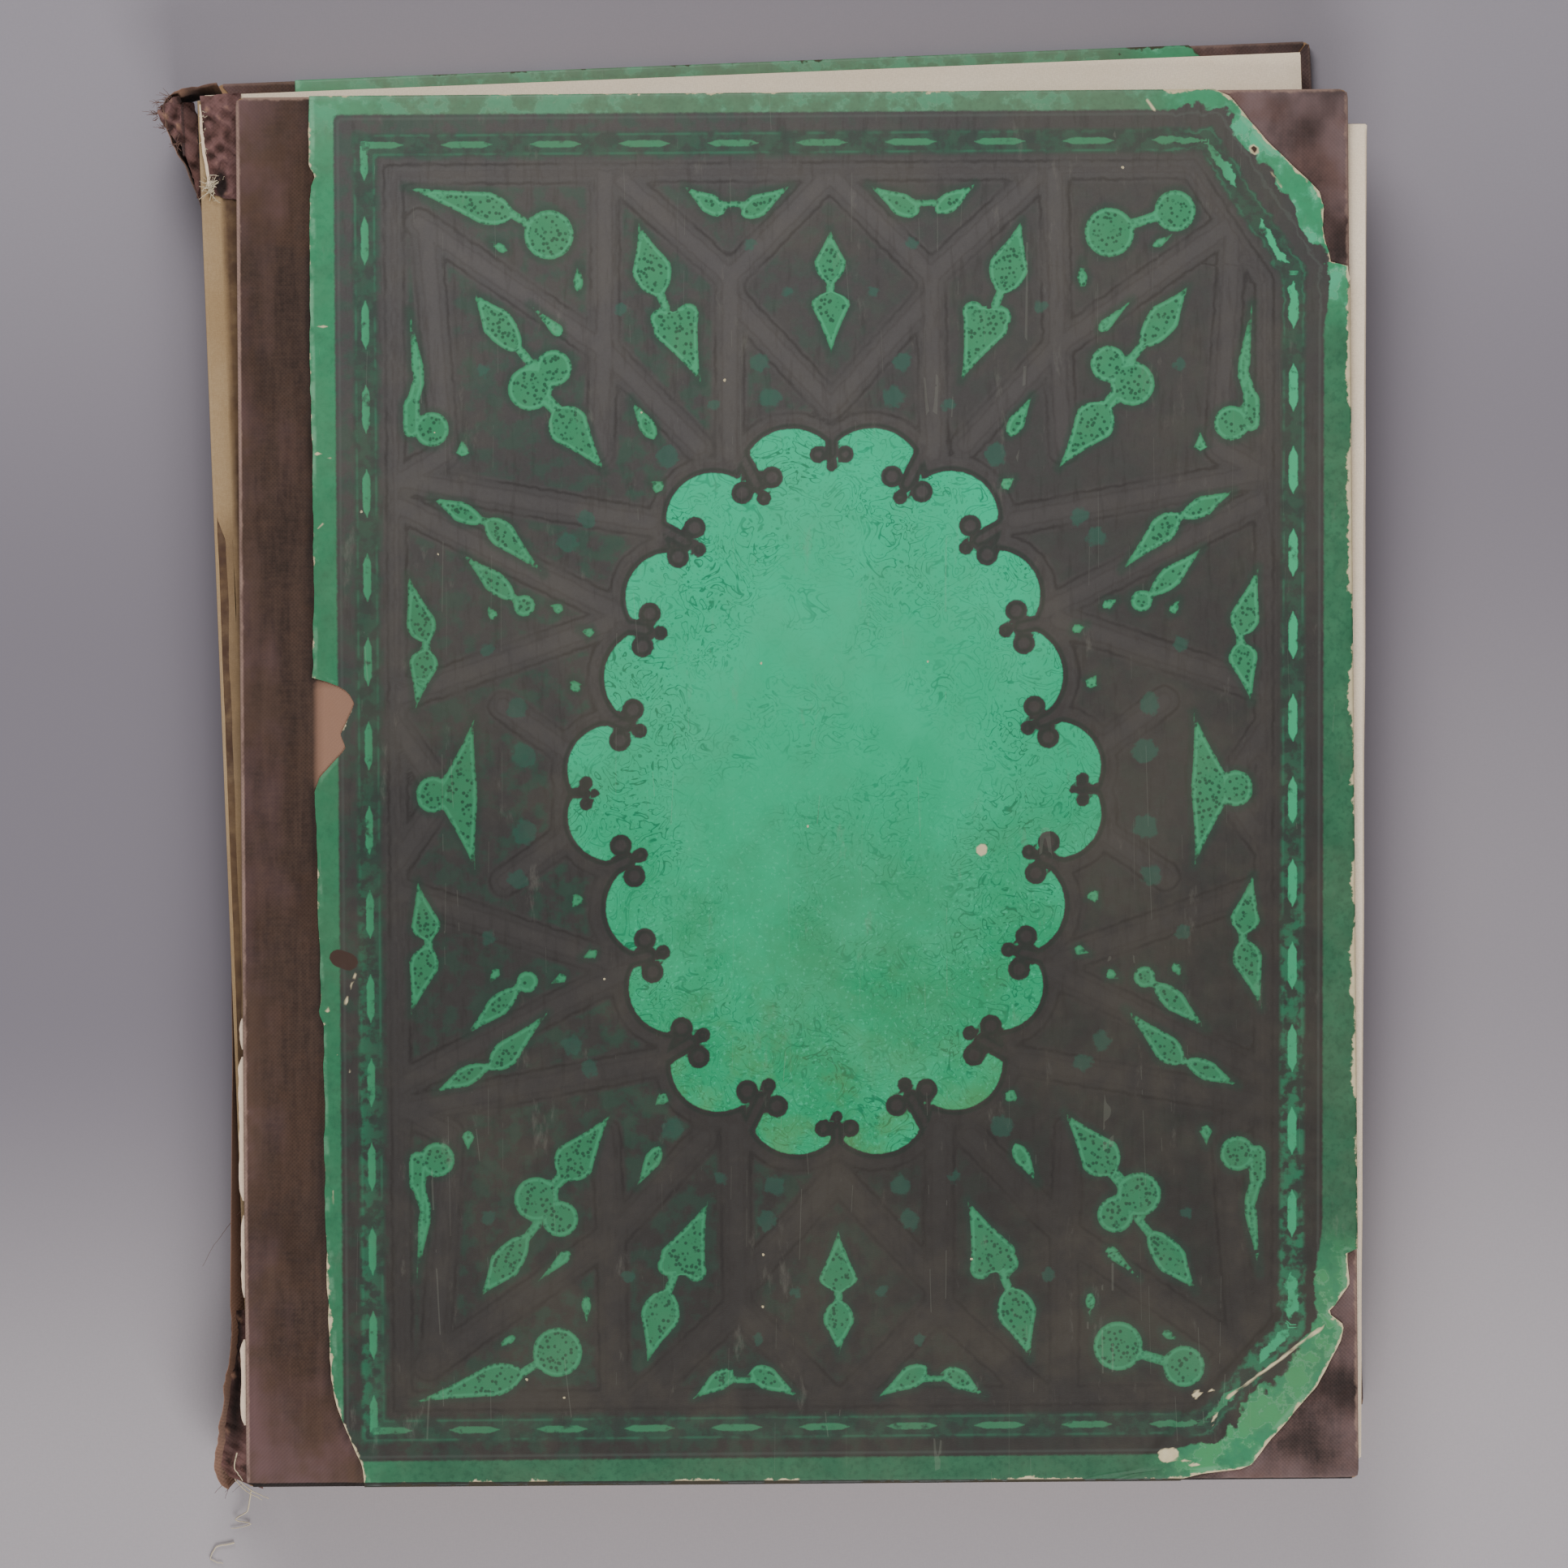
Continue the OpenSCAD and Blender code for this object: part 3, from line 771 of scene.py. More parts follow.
        face = columns(np.zeros(len(y), dtype=bool), face_x, 0.0, 0.0, 0.0)
        before, after = columns(left_on, left_x, *left)[..., :0:-1], columns(*right)[..., 1:]
        x, high, *normal = np.concatenate([before, face, after], axis=2)
        first = before.shape[2]
        last = first + len(share) - 1
        outer = np.stack([x, np.broadcast_to(y[:, None], x.shape), high], axis=-1)
        inner = outer - self.thickness * np.stack(normal, axis=-1)
        if self.relief is not None:
            lift = self.relief(face_x, np.broadcast_to(y[:, None], face_x.shape)) * np.clip(nz, 0, 1)[:, None]
            outer[:, first:last + 1, 2] += lift
        kept = np.unique(np.concatenate([
            np.arange(0, first + 1), np.arange(first, last, self.inner_every), np.arange(last, x.shape[1]),
        ]))[::-1]
        rings = np.concatenate([outer, inner[:, kept]], axis=1)
        values = self.fields(rings[..., 0], rings[..., 1]) if self.fields else {}
        values["core"] = np.repeat([0.0, 1.0], [x.shape[1], len(kept)])
        return rings, values


# Node trees


def paint(code: str) -> tuple[float, float, float, float]:
    """A web colour as a linear colour with full alpha.

    Args:
        code: A hash sign and six hexadecimal digits.

    Returns:
        Red, green, blue and alpha.
    """
    parts = [int(code[i:i + 2], 16) / 255 for i in (1, 3, 5)]
    linear = [part / 12.92 if part <= 0.04045 else ((part + 0.055) / 1.055) ** 2.4 for part in parts]
    return (*linear, 1.0)


class Wire:
    """A value in a shader node tree; its operators and methods write the nodes of a formula."""

    def __init__(self, tree: bpy.types.NodeTree, socket: bpy.types.NodeSocket) -> None:
        """Takes the tree and the socket that gives the value."""
        self.tree = tree
        self.socket = socket

    def put(self, socket: bpy.types.NodeSocket, value: "Value") -> None:
        """Links a node's input to a wire, or sets its constant; a web colour becomes a linear one.

        Args:
            socket: Input that takes the value.
            value: Wire, number, vector or web colour.
        """
        if isinstance(value, Wire):
            self.tree.links.new(value.socket, socket)
        else:
            socket.default_value = paint(value) if isinstance(value, str) else value

    def node(self, kind: str, inputs: dict[Union[int, str], "Value"], output: Union[int, str] = 0,
             **settings: object) -> "Wire":
        """Adds a node.

        Args:
            kind: Blender's name of the node type, without "ShaderNode".
            inputs: Values by socket name or number.
            output: Name or number of the output that is wanted.
            settings: The node's own settings.

        Returns:
            That output.
        """
        node = self.tree.nodes.new("ShaderNode" + kind)
        for key, value in settings.items():
            setattr(node, key, value)
        for key, value in inputs.items():
            self.put(node.inputs[key], value)
        return Wire(self.tree, node.outputs[output])

    def math(self, operation: str, *values: "Value") -> "Wire":
        """A Math node's result."""
        return self.node("Math", dict(enumerate(values)), operation=operation)

    def __add__(self, other: "Value") -> "Wire":
        """Sum."""
        return self.math("ADD", self, other)

    def __sub__(self, other: "Value") -> "Wire":
        """Difference."""
        return self.math("SUBTRACT", self, other)

    def __rsub__(self, other: float) -> "Wire":
        """Difference from a number."""
        return self.math("SUBTRACT", other, self)

    def __mul__(self, other: "Value") -> "Wire":
        """Product."""
        return self.math("MULTIPLY", self, other)

    def __truediv__(self, other: "Value") -> "Wire":
        """Quotient."""
        return self.math("DIVIDE", self, other)

    def __rtruediv__(self, other: float) -> "Wire":
        """Quotient of a number by this."""
        return self.math("DIVIDE", other, self)

    def __lt__(self, other: "Value") -> "Wire":
        """1 where this is less, else 0."""
        return self.math("LESS_THAN", self, other)

    def __abs__(self) -> "Wire":
        """Absolute value."""
        return self.math("ABSOLUTE", self)

    def least(self, other: "Value") -> "Wire":
        """The lesser of two."""
        return self.math("MINIMUM", self, other)

    def most(self, other: "Value") -> "Wire":
        """The greater of two."""
        return self.math("MAXIMUM", self, other)

    def fade(self, start: float, end: float, low: float = 0.0, high: float = 1.0) -> "Wire":
        """Smooth step from low at start to high at end."""
        inputs = {0: self, 1: start, 2: end, 3: low, 4: high}
        return self.node("MapRange", inputs, interpolation_type="SMOOTHSTEP")

    def within(self, reach: float, soft: float) -> "Wire":
        """1 where this lies within reach of zero, fading to 0 over a soft width."""
        return abs(self).fade(reach - soft, reach + soft, 1.0, 0.0)

    def between(self, first: "Value", second: "Value") -> "Wire":
        """Mix of two colours: the second as far as this says."""
        return self.node("Mix", {0: self, 6: first, 7: second}, 2, data_type="RGBA", blend_type="MIX")

    def coats(self, *coats: tuple["Wire", "Value"]) -> "Wire":
        """This colour under coats of others, each laid on as far as its mask says.

        Args:
            coats: (mask, colour) pairs, the lowest first.

        Returns:
            The colour on top.
        """
        colour = self
        for mask, coat in coats:
            colour = mask.between(colour, coat)
        return colour

    def noise(self, size: float, detail: float = 3.0, rough: float = 0.55, bend: float = 0.0) -> "Wire":
        """Noise about 0.5 at this place, with features of a size in its unit."""
        return self.node("TexNoise", {"Vector": self, "Scale": 1.0 / size, "Detail": detail, "Roughness": rough,
                                      "Distortion": bend})

    def cells(self, size: float, output: str = "Distance") -> "Wire":
        """Voronoi cells of a size in this place's unit."""
        return self.node("TexVoronoi", {"Vector": self, "Scale": 1.0 / size}, output, feature="F1")

    def stretch(self, scale: Sequence[float], turn: float = 0.0) -> "Wire":
        """This vector scaled along its axes and turned about Z by degrees."""
        inputs = {"Vector": self, "Scale": tuple(scale), "Rotation": (0.0, 0.0, math.radians(turn))}
        return self.node("Mapping", inputs)

    def scaled(self, share: "Value") -> "Wire":
        """This vector or colour times a number."""
        return self.node("VectorMath", {0: self, 3: share}, operation="SCALE")

    def parts(self) -> list["Wire"]:
        """x, y and z of this vector."""
        return [self.node("SeparateXYZ", {0: self}, axis) for axis in range(3)]

    def attributes(self, *names: str) -> list["Wire"]:
        """Values of point attributes, one for each name."""
        return [self.node("Attribute", {}, "Fac", attribute_name=name) for name in names]

    def bump(self, distance: float, strength: float) -> "Wire":
        """Normal bent by this height, whose full range is a distance in millimetres."""
        return self.node("Bump", {"Height": self, "Distance": distance * MM, "Strength": strength})

    def shared(self, group: bpy.types.NodeTree, output: str, **numbers: float) -> "Wire":
        """Output of a shared node group at this place.

        Args:
            group: The node group.
            output: Name of the output that is wanted.
            numbers: The group's other inputs.

        Returns:
            That output.
        """
        node = self.tree.nodes.new("ShaderNodeGroup")
        node.node_tree = group
        for key, value in {"Places": self, **numbers}.items():
            self.put(node.inputs[key], value)
        return Wire(self.tree, node.outputs[output])


Value = Union[float, str, Sequence[float], Wire]


def places(tree: bpy.types.NodeTree, own: bool) -> Wire:
    """Places in millimetres: a piece's own, from its attribute, or those of a solid's object.

    Args:
        tree: Node tree to write into.
        own: Whether the piece carries its own places.

    Returns:
        The places.
    """
    if own:
        node = tree.nodes.new("ShaderNodeAttribute")
        node.attribute_name = "place"
        return Wire(tree, node.outputs["Vector"])
    node = tree.nodes.new("ShaderNodeTexCoord")
    return Wire(tree, node.outputs["Object"]).stretch((1 / MM, 1 / MM, 1 / MM))


def inside_outline(place: Wire, half: tuple[float, float]) -> Wire:
    """Distance inside a rectangle of half sizes about the middle."""
    x, y, _ = place.parts()
    return (half[0] - abs(x)).least(half[1] - abs(y))


def tail_edge_shadow(place: Wire, worn: Wire) -> Wire:
    """Where a painted shadow darkens a cover's tail edge, standing for the board's edge in shade: below an uneven line,
    lower towards the fore-edge.
    """
    x, y, _ = place.parts()
    return (y - (worn * 0.5 + x.fade(150.0, -150.0, 0.1, 0.8))).fade(-190.4, -190.1, 0.95, 0.0)


def weave(place: Wire, given: dict[str, Wire]) -> dict[str, Wire]:
    """Plain weave: crossed threads whose height is the product of two sines, with uneven threads.

    Args:
        place: Place in millimetres.
        given: The group's other inputs by name.

    Returns:
        The height of the threads, and how uneven they are.
    """
    uneven = place.stretch((1.0, 0.25, 1.0)).noise(0.9, 2.0)
    across = place.stretch((0.25, 1.0, 1.0)).noise(0.9, 2.0)
    x, y, _ = place.scaled(math.pi / given["Pitch"]).parts()
    warp, weft = (x + uneven * 2.0), (y + across * 2.0)
    height = warp.math("SINE", warp) * weft.math("SINE", weft) * 0.5 + 0.5
    return {"Height": height, "Thread": uneven + across}


def fibres(place: Wire, given: dict[str, Wire]) -> dict[str, Wire]:
    """Paper fibres: short streaks in two directions over a fine grain.

    Args:
        place: Place in millimetres.
        given: The group's other inputs by name.

    Returns:
        The height of the fibres.
    """
    scaled = place.scaled(1.0 / given["Size"])
    streaks = scaled.stretch((1.0, 5.0, 1.0), 20).noise(1.1) + scaled.stretch((5.0, 1.0, 1.0), 35).noise(1.2)
    return {"Height": (streaks + scaled.noise(0.35, 2.0)) / 3.0}


def grime(place: Wire, given: dict[str, Wire]) -> dict[str, Wire]:
    """Soft blotches of dirt: broad noise broken up by finer noise."""
    scaled = place.scaled(1.0 / given["Size"])
    return {"Mask": (scaled.noise(0.12, 4.0) * 0.35 + scaled.noise(1.0, 6.0, 0.62, 0.4)).fade(0.55, 0.85)}


def specks(place: Wire, given: dict[str, Wire]) -> dict[str, Wire]:
    """Small uneven specks: cells whose middle is near and whose lot is under the share.

    Args:
        place: Place in millimetres.
        given: The group's other inputs by name.

    Returns:
        Where the specks are.
    """
    scaled = place.scaled(1.0 / given["Spacing"])
    lot = scaled.cells(1.0, "Color").parts()[0]
    reach = given["Radius"] / given["Spacing"] * (place.noise(0.8, 2.0) * 2.0)
    return {"Mask": (scaled.cells(1.0) < reach) * (lot < given["Share"])}


def scratches(place: Wire, given: dict[str, Wire]) -> dict[str, Wire]:
    """Fine scratches: the thin level lines of long stretched noise, only here and there.

    Args:
        place: Place in millimetres.
        given: The group's other inputs by name.

    Returns:
        Where the scratches are.
    """
    masks = []
    for turn, size in ((12.0, 60.0), (78.0, 80.0), (-35.0, 90.0)):
        long_noise = place.stretch((1.0, 0.03, 1.0), turn).noise(size / 4, 0.0)
        here = place.stretch((1, 1, 1), turn).noise(size / 3)
        masks.append((abs(long_noise - 0.5) < given["Width"] * 0.12) * (here.math("GREATER_THAN", here, 0.58)))
    return {"Mask": masks[0].most(masks[1]).most(masks[2])}


Formula = Callable[[Wire, dict[str, Wire]], dict[str, Wire]]


def shared_group(formula: Formula, **numbers: float) -> bpy.types.NodeTree:
    """A node group that works out a formula.

    Args:
        formula: Function of the places and the other inputs.
        numbers: The other inputs' names and defaults.

    Returns:
        The group, with the formula's results as its outputs.
    """
    group = bpy.data.node_groups.new(formula.__name__, "ShaderNodeTree")
    group.interface.new_socket("Places", in_out="INPUT", socket_type="NodeSocketVector")
    for key, default in numbers.items():
        group.interface.new_socket(key, in_out="INPUT", socket_type="NodeSocketFloat").default_value = default
    start = group.nodes.new("NodeGroupInput")
    given = {key: Wire(group, start.outputs[key]) for key in ("Places", *numbers)}
    results = formula(given["Places"], given)
    for key in results:
        group.interface.new_socket(key, in_out="OUTPUT", socket_type="NodeSocketFloat")
    stop = group.nodes.new("NodeGroupOutput")
    for key, result in results.items():
        result.put(stop.inputs[key], result)
    return group


@dataclass
class SharedEffects:
    """Node groups that several finishes use."""

    weave: bpy.types.NodeTree = field(default_factory=lambda: shared_group(weave, Pitch=0.6))
    fibres: bpy.types.NodeTree = field(default_factory=lambda: shared_group(fibres, Size=1.0))
    grime: bpy.types.NodeTree = field(default_factory=lambda: shared_group(grime, Size=40.0))
    specks: bpy.types.NodeTree = field(
        default_factory=lambda: shared_group(specks, Spacing=6.0, Radius=0.3, Share=0.4))
    scratches: bpy.types.NodeTree = field(default_factory=lambda: shared_group(scratches, Width=0.02))


@dataclass(frozen=True)
class Finish:
    """A material: its name, and whether the piece carries its own places."""

    name: str
    own: bool = True

    def sockets(self, place: Wire, effects: SharedEffects) -> dict[str, Value]:
        """The shader's inputs by name."""
        raise NotImplementedError

    def make(self, effects: SharedEffects) -> bpy.types.Material:
        """Builds the material with one Principled shader.

        Args:
            effects: The shared node groups.

        Returns:
            The material.
        """
        material = bpy.data.materials.new(self.name)
        material.use_nodes = True
        tree = material.node_tree
        tree.nodes.clear()
        shader = tree.nodes.new("ShaderNodeBsdfPrincipled")
        tree.links.new(shader.outputs[0], tree.nodes.new("ShaderNodeOutputMaterial").inputs[0])
        place = places(tree, self.own)
        for key, value in self.sockets(place, effects).items():
            place.put(shader.inputs[key], value)
        return material


@dataclass(frozen=True)
class PrintedPaper(Finish):
    """Green ornament printed on dark brown, satin, with worn edges and scratches."""

    rim: tuple[str, str] = ("#b3a27a", "#d4c7a4")

    def _ornament(self, place: Wire) -> Wire:
        """Colour of the unworn print from its distances, with painted light outside the medallion: brighter towards the
        head and the fore-edge, darker towards the tail.

        Args:
            place: Places in millimetres.

        Returns:
            The colour.
        """
        x, y, _ = place.parts()
        leaf, ground, pierce = place.attributes("leaf", "ground", "pierce")
        ragged = place.noise(1.1) - 0.5
        halo = (leaf + ragged).fade(0.3, 2.4, 1.0, 0.0)
        dots = place.cells(1.3).fade(0.26, 0.48, 1.0, 0.0) * place.noise(2.6, 2.0).fade(0.3, 0.46)
        bright = place.noise(9.0).between("#276f49", "#337e56").coats(
            (dots * 0.9, "#1b4530"), ((leaf + 0.75).within(0.35, 0.3) * 0.45, "#3f9c6d"))
        hole = (place.noise(2.2) * 4.0 + pierce).fade(1.2, 2.2, 1.0, 0.0)
        inside = (ragged * 0.5 + ground).fade(-0.25, 0.25, 1.0, 0.0)
        colour = self._moulding(place, ground).coats(
            (halo * 0.55, "#253a2f"),
            ((ragged * 0.5 + leaf).fade(-0.2, 0.25, 1.0, 0.0), bright),
            (hole * 0.5, "#245646"),
            ((ground - 1.0).within(0.5, 0.4) * 0.6, "#1e2a22"),
            (inside, self._medallion(place, ground)),
        )
        # painted light: outside the medallion the print is scaled brighter towards the head and the fore-edge and
        # darker towards the tail
        head = y + x * 0.35 + (place.noise(60.0) - 0.5) * 120.0
        painted_light = head.fade(-60.0, 130.0, 0.86, 1.22)
        return self._border(place, colour, ragged).scaled(inside * (1.0 - painted_light) + painted_light)

    def _moulding(self, place: Wire, ground: Wire) -> Wire:
        """Dark ground with its ribs, drawn as rounded mouldings, greener towards the medallion, and lighter towards the
        head and the spine side as painted sheen.

        Args:
            place: Places in millimetres.
            ground: Distance outside the medallion.

        Returns:
            The colour.
        """
        x, y, _ = place.parts()
        rib, = place.attributes("rib")
        # painted sheen: the ground lightens towards the head and the spine side, and the ribs' light middles grow with
        # it
        painted_sheen = (y - x * 0.5 + place.noise(70.0, 4.0) * 160.0).fade(-150.0, 330.0)
        strokes = place.stretch((1.0, 0.16, 1.0), 35.0).noise(1.6)
        panel = rib.fade(0.2, 1.6)
        teal = panel * ground.fade(75.0, 6.0) * place.noise(5.0, 4.0).fade(0.42, 0.62) * x.fade(70.0, -60.0, 0.15, 1.0)
        wobble = rib + (place.noise(3.0) * 1.6 - 0.8)
        return painted_sheen.between("#322e2a", "#474544").coats(
            (place.noise(0.7, 4.0) * 0.4, "#2b2624"),
            (strokes.fade(0.52, 0.7, 0.0, 0.25), "#241f1c"),
            (panel * 0.18, "#242421"),
            (teal * 0.5, "#204c3a"),
            (rib.fade(-0.4, -3.4) * (painted_sheen * 0.06 + 0.01), "#7a7270"),
            ((wobble + 0.1).within(0.4, 0.4) * place.noise(12.0).fade(0.35, 0.6, 0.15, 0.5), "#1f1a18"),
            ((wobble + 2.0).within(0.3, 0.35) * 0.22, "#2c2523"),
        )

    def _medallion(self, place: Wire, ground: Wire) -> Wire:
        """Colour inside the medallion: bright green with a faint curled filigree and an old stain, brighter towards the
        head as painted light.

        Args:
            place: Places in millimetres.
            ground: Distance outside the medallion.

        Returns:
            The colour.
        """
        x, y, _ = place.parts()
        broad = place.noise(30.0, 5.0) * 110.0
        cloudy = place.noise(22.0, 5.0, 0.65).fade(0.35, 0.62)
        fleck = place.noise(1.0).fade(0.58, 0.66) * y.fade(30.0, -40.0)
        curls = place.noise(9.0, 1.5, 0.5, 2.2) * 6.0
        lines = (curls.math("FRACT", curls) - 0.5).within(0.08, 0.05)
        faint = ground.fade(-26.0, -3.0) * 0.3 + (place.noise(18.0, 2.0).fade(0.45, 0.6) * 0.32 + 0.06)
        stain = (y + broad).fade(25.0, -60.0) * place.noise(14.0, 5.0, 0.6).fade(0.42, 0.66)
        # painted light: the green is brighter towards the head and darker towards the tail; its dark clouds also grow
        # towards the tail
        return (y + broad - x * 0.1).fade(150.0, -25.0).between("#00bb86", "#109b67").coats(
            (place.noise(6.0, 4.0) * 0.35, "#109a6a"),
            (cloudy * y.fade(20.0, -60.0, 0.12, 0.55), "#0a7c4a"),
            (fleck * 0.3, "#3cc795"),
            (lines.most(place.noise(0.9).fade(0.55, 0.7) * 0.7) * faint, "#0f5134"),
            (stain * 0.4, "#5c6c2c"),
        )

    def _border(self, place: Wire, colour: Wire, ragged: Wire) -> Wire:
        """Adds the dashed line in its zone and the green margin outside the frame.

        Args:
            place: Places in millimetres.
            colour: Colour of the print.
            ragged: Fine noise about zero.

        Returns:
            The colour with its border.
        """
        x, y, _ = place.parts()
        inset, run, tear = place.attributes("inset", "run", "tear")
        side = abs(x).fade(112.0, 124.0)
        low = (y + place.noise(40.0) * 80.0).fade(90.0, -60.0)
        corner = x.fade(92.0, 112.0) * abs(y).fade(118.0, 140.0)
        inset = inset + corner * (place.noise(4.5, 4.0, 0.6) * 5.0 - 2.5)
        middle = inset - 8.4
        zone = middle.within(3.3, 0.7)
        rails = (abs(middle) - 2.6).within(0.3, 0.25)
        step = abs(run.math("FRACT", run) - 0.5)
        dash = abs(middle + ragged * 0.6) - step.fade(0.3, 0.16) * (side * 0.3 + 0.85)
        dash = dash.fade(-0.2, 0.3, 1.0, 0.0) * (step < 0.29) * place.noise(3.0).fade(0.25, 0.45)
        colour = colour.coats(
            (zone * 0.6, "#26382f"),
            (zone * place.noise(4.0, 4.0).fade(0.42, 0.58) * (side * low * 0.55 + 0.12), "#1f7a54"),
            (rails * place.noise(8.0).fade(0.4, 0.6) * 0.4, "#2d6a4e"),
            (dash * (side * 0.25 + 0.65), side.between("#3a8259", "#2fa06e")),
            ((inset - 1.2).within(0.35, 0.3) * 0.3, "#4d554f"),
        )
        broken = corner * (place.noise(11.0) * 12.0 + y.fade(0.0, -10.0, -6.5, -3.6))
        margin = (ragged * 0.7 + inset - broken).fade(-0.4, 0.4, 1.0, 0.0)
        mint = place.noise(8.0, 4.0, 0.6)
        head = corner.most(y.fade(176.0, 186.0, 0.0, 0.35))
        left = x.fade(-100.0, -124.0) * y.fade(-170.0, 40.0, 0.35, 0.4)
        green = place.noise(6.0, 4.0).between("#224f37", "#38714f").coats(
            (place.noise(1.4, 4.0).fade(0.45, 0.7, 0.0, 0.5), "#1c4a33"),
            # painted sheen: a greyish haze on the margin near the head
            (y.fade(165.0, 180.0) * x.fade(110.0, 90.0) * 0.3, "#6e7962"),
            (left.most(corner * 0.6) * place.noise(7.0, 4.0).fade(0.25, 0.55, 0.5, 1.0), "#2d8f60"),
            (mint.fade(0.44, 0.62) * head * 0.75, y.fade(0.0, -10.0).between("#46a67c", "#43955b")),
            ((mint - 0.55).within(0.01, 0.014) * head * 0.25, "#8dbb98"),
            ((tear - 1.1).within(0.6, 0.4) * mint.fade(0.45, 0.65) * 0.5, "#6fa882"),
        )
        return margin.between(colour, green)

    def sockets(self, place: Wire, effects: SharedEffects) -> dict[str, Value]:
        """The print, its wearing through to the cream paper core, specks, scratches, a painted shadow along the tail
        edge, and satin gloss.

        Args:
            place: Places in millimetres.
            effects: The shared node groups.

        Returns:
            The shader's inputs by name.
        """
        x, y, _ = place.parts()
        tear, chip, core, hole = place.attributes("tear", "chip", "core", "hole")
        cream = place.noise(2.5).between(*self.rim)
        worn = place.noise(3.0, 4.0, 0.6)
        torn = (tear + (worn * -3.0 + 1.5)).fade(0.1, 0.6, 1.0, 0.0)
        whole = y.fade(170.0, 186.0) * x.fade(110.0, 90.0)
        kept = place.noise(16.0, 2.0).fade(0.4, 0.6) * -1.3 + 2.9 + whole * 1.1
        side = inside_outline(place, (BOOK.half_w, BOOK.half_h))
        rubbed = (side + (worn * -4.5 + kept)).fade(0.2, 0.8, 1.0, 0.0)
        bare = torn.most(rubbed).most(chip.fade(-0.3, 0.2, 1.0, 0.0).most(core.fade(0.02, 0.1)))
        scuff = place.stretch((1.0, 0.3, 1.0), 28.0).noise(7.0, 6.0, 0.7).fade(0.6, 0.76)
        colour = self._ornament(place).coats(
            (place.shared(effects.grime, "Mask", Size=60.0) * 0.12, "#6d6552"),
            (scuff * 0.16, "#8f8d80"),
            (place.shared(effects.scratches, "Mask", Width=0.013) * 0.07, "#a9ad9c"),
            (bare, cream),
            (place.shared(effects.specks, "Mask", Spacing=11.0, Radius=0.36, Share=0.3) * 0.8, cream),
            (hole.fade(-0.1, 0.3, 1.0, 0.0), "#3d2c24"),
            # painted shadow: a near-black line along the tail edge
            (tail_edge_shadow(place, worn), "#15120d"),
        )
        height = place.shared(effects.fibres, "Height", Size=1.2) - bare * 0.8
        return {"Base Color": colour, "Roughness": (worn + bare).fade(0.3, 1.5, 0.46, 0.85),
                "Specular IOR Level": 0.3, "Normal": height.bump(0.08, 0.5)}


@dataclass(frozen=True)
class WovenFinish(Finish):
    """Woven stuff: its dyed or bare threads, worn lighter where it is rubbed."""

    deep: str = "#1f1610"
    light: str = "#36241c"
    rubbed: str = "#574135"
    mauve: str = "#674d4c"
    pitch: float = 0.55
    depth: float = 0.12
    rubbed_share: float = 0.3
    edge_wear: bool = True

    def _worn(self, place: Wire, colour: Wire) -> Wire:
        """Adds how a cover's cloth is worn: rubbed and bare places and pale edges; dark places, partly the cloth's own
        dark patches and partly painted shade from the pieces; and a painted shadow along the tail edge.

        Args:
            place: Places in millimetres.
            colour: Colour of the cloth.

        Returns:
            The worn colour.
        """
        x, y, _ = place.parts()
        rub, dark, bare, cover = place.attributes("rub", "dark", "bare", "cover")
        worn = place.noise(4.0, 4.0, 0.6)
        tint = place.noise(16.0).fade(0.35, 0.6).between(self.rubbed, self.mauve)
        line = (x + worn * 0.8).fade(-151.4, -150.7, 1.0, 0.0)
        side = inside_outline(place, (BOOK.half_w, BOOK.half_h))
        edge = (side + (worn * -2.6 + 1.0)).fade(0.1, 1.0, 1.0, 0.0)
        return colour.coats(
            (rub * 0.8, tint),
            # dark: the cloth's own dark patches, and painted shade beside the paper's edge, in folds and gaps and on
            # the spine cloth's inner side
            (dark * 0.9, "#0d0906"),
            (bare * 0.85, "#94705c"),
            (line * cover * place.noise(13.0, 4.0, 0.6).fade(0.36, 0.6, 0.25, 0.85), "#9c8076"),
            (edge * cover * y.fade(-186.0, -180.0, 0.1, 0.65), "#9b7f70"),
            # painted shadow: a near-black line along the tail edge
            (tail_edge_shadow(place, worn) * cover, "#120c08"),
        )

    def sockets(self, place: Wire, effects: SharedEffects) -> dict[str, Value]:
        """The weave with painted shade between its threads, blotches and worn edges.

        Args:
            place: Places in millimetres.
            effects: The shared node groups.

        Returns:
            The shader's inputs by name.
        """
        height, thread = (place.shared(effects.weave, output, Pitch=self.pitch) for output in ("Height", "Thread"))
        broad, fine = (place.shared(effects.grime, "Mask", Size=size) for size in (26.0, 5.0))
        streaks = place.stretch((1.0, 0.08, 1.0)).noise(2.6, 4.0).fade(0.38, 0.68)
        share = self.rubbed_share
        masks = (streaks * share, broad * share, fine * (share * 0.5), thread.fade(0.75, 1.25) * 0.25)
        colour = place.noise(12.0, 5.0, 0.65).between(self.deep, self.light)
        # painted shade: a near-black coat where the weave is low, between the threads
        colour = colour.coats(*((mask, self.rubbed) for mask in masks), (height.fade(0.2, 0.6, 0.25, 0.0), "#17100d"))
        if self.edge_wear:
            colour = self._worn(place, colour)
        return {"Base Color": colour, "Roughness": broad.fade(0.0, 1.0, 0.72, 0.9),
                "Normal": height.bump(self.depth, 0.6), "Specular IOR Level": 0.25, "Sheen Weight": 0.05,
                "Sheen Roughness": 0.5}


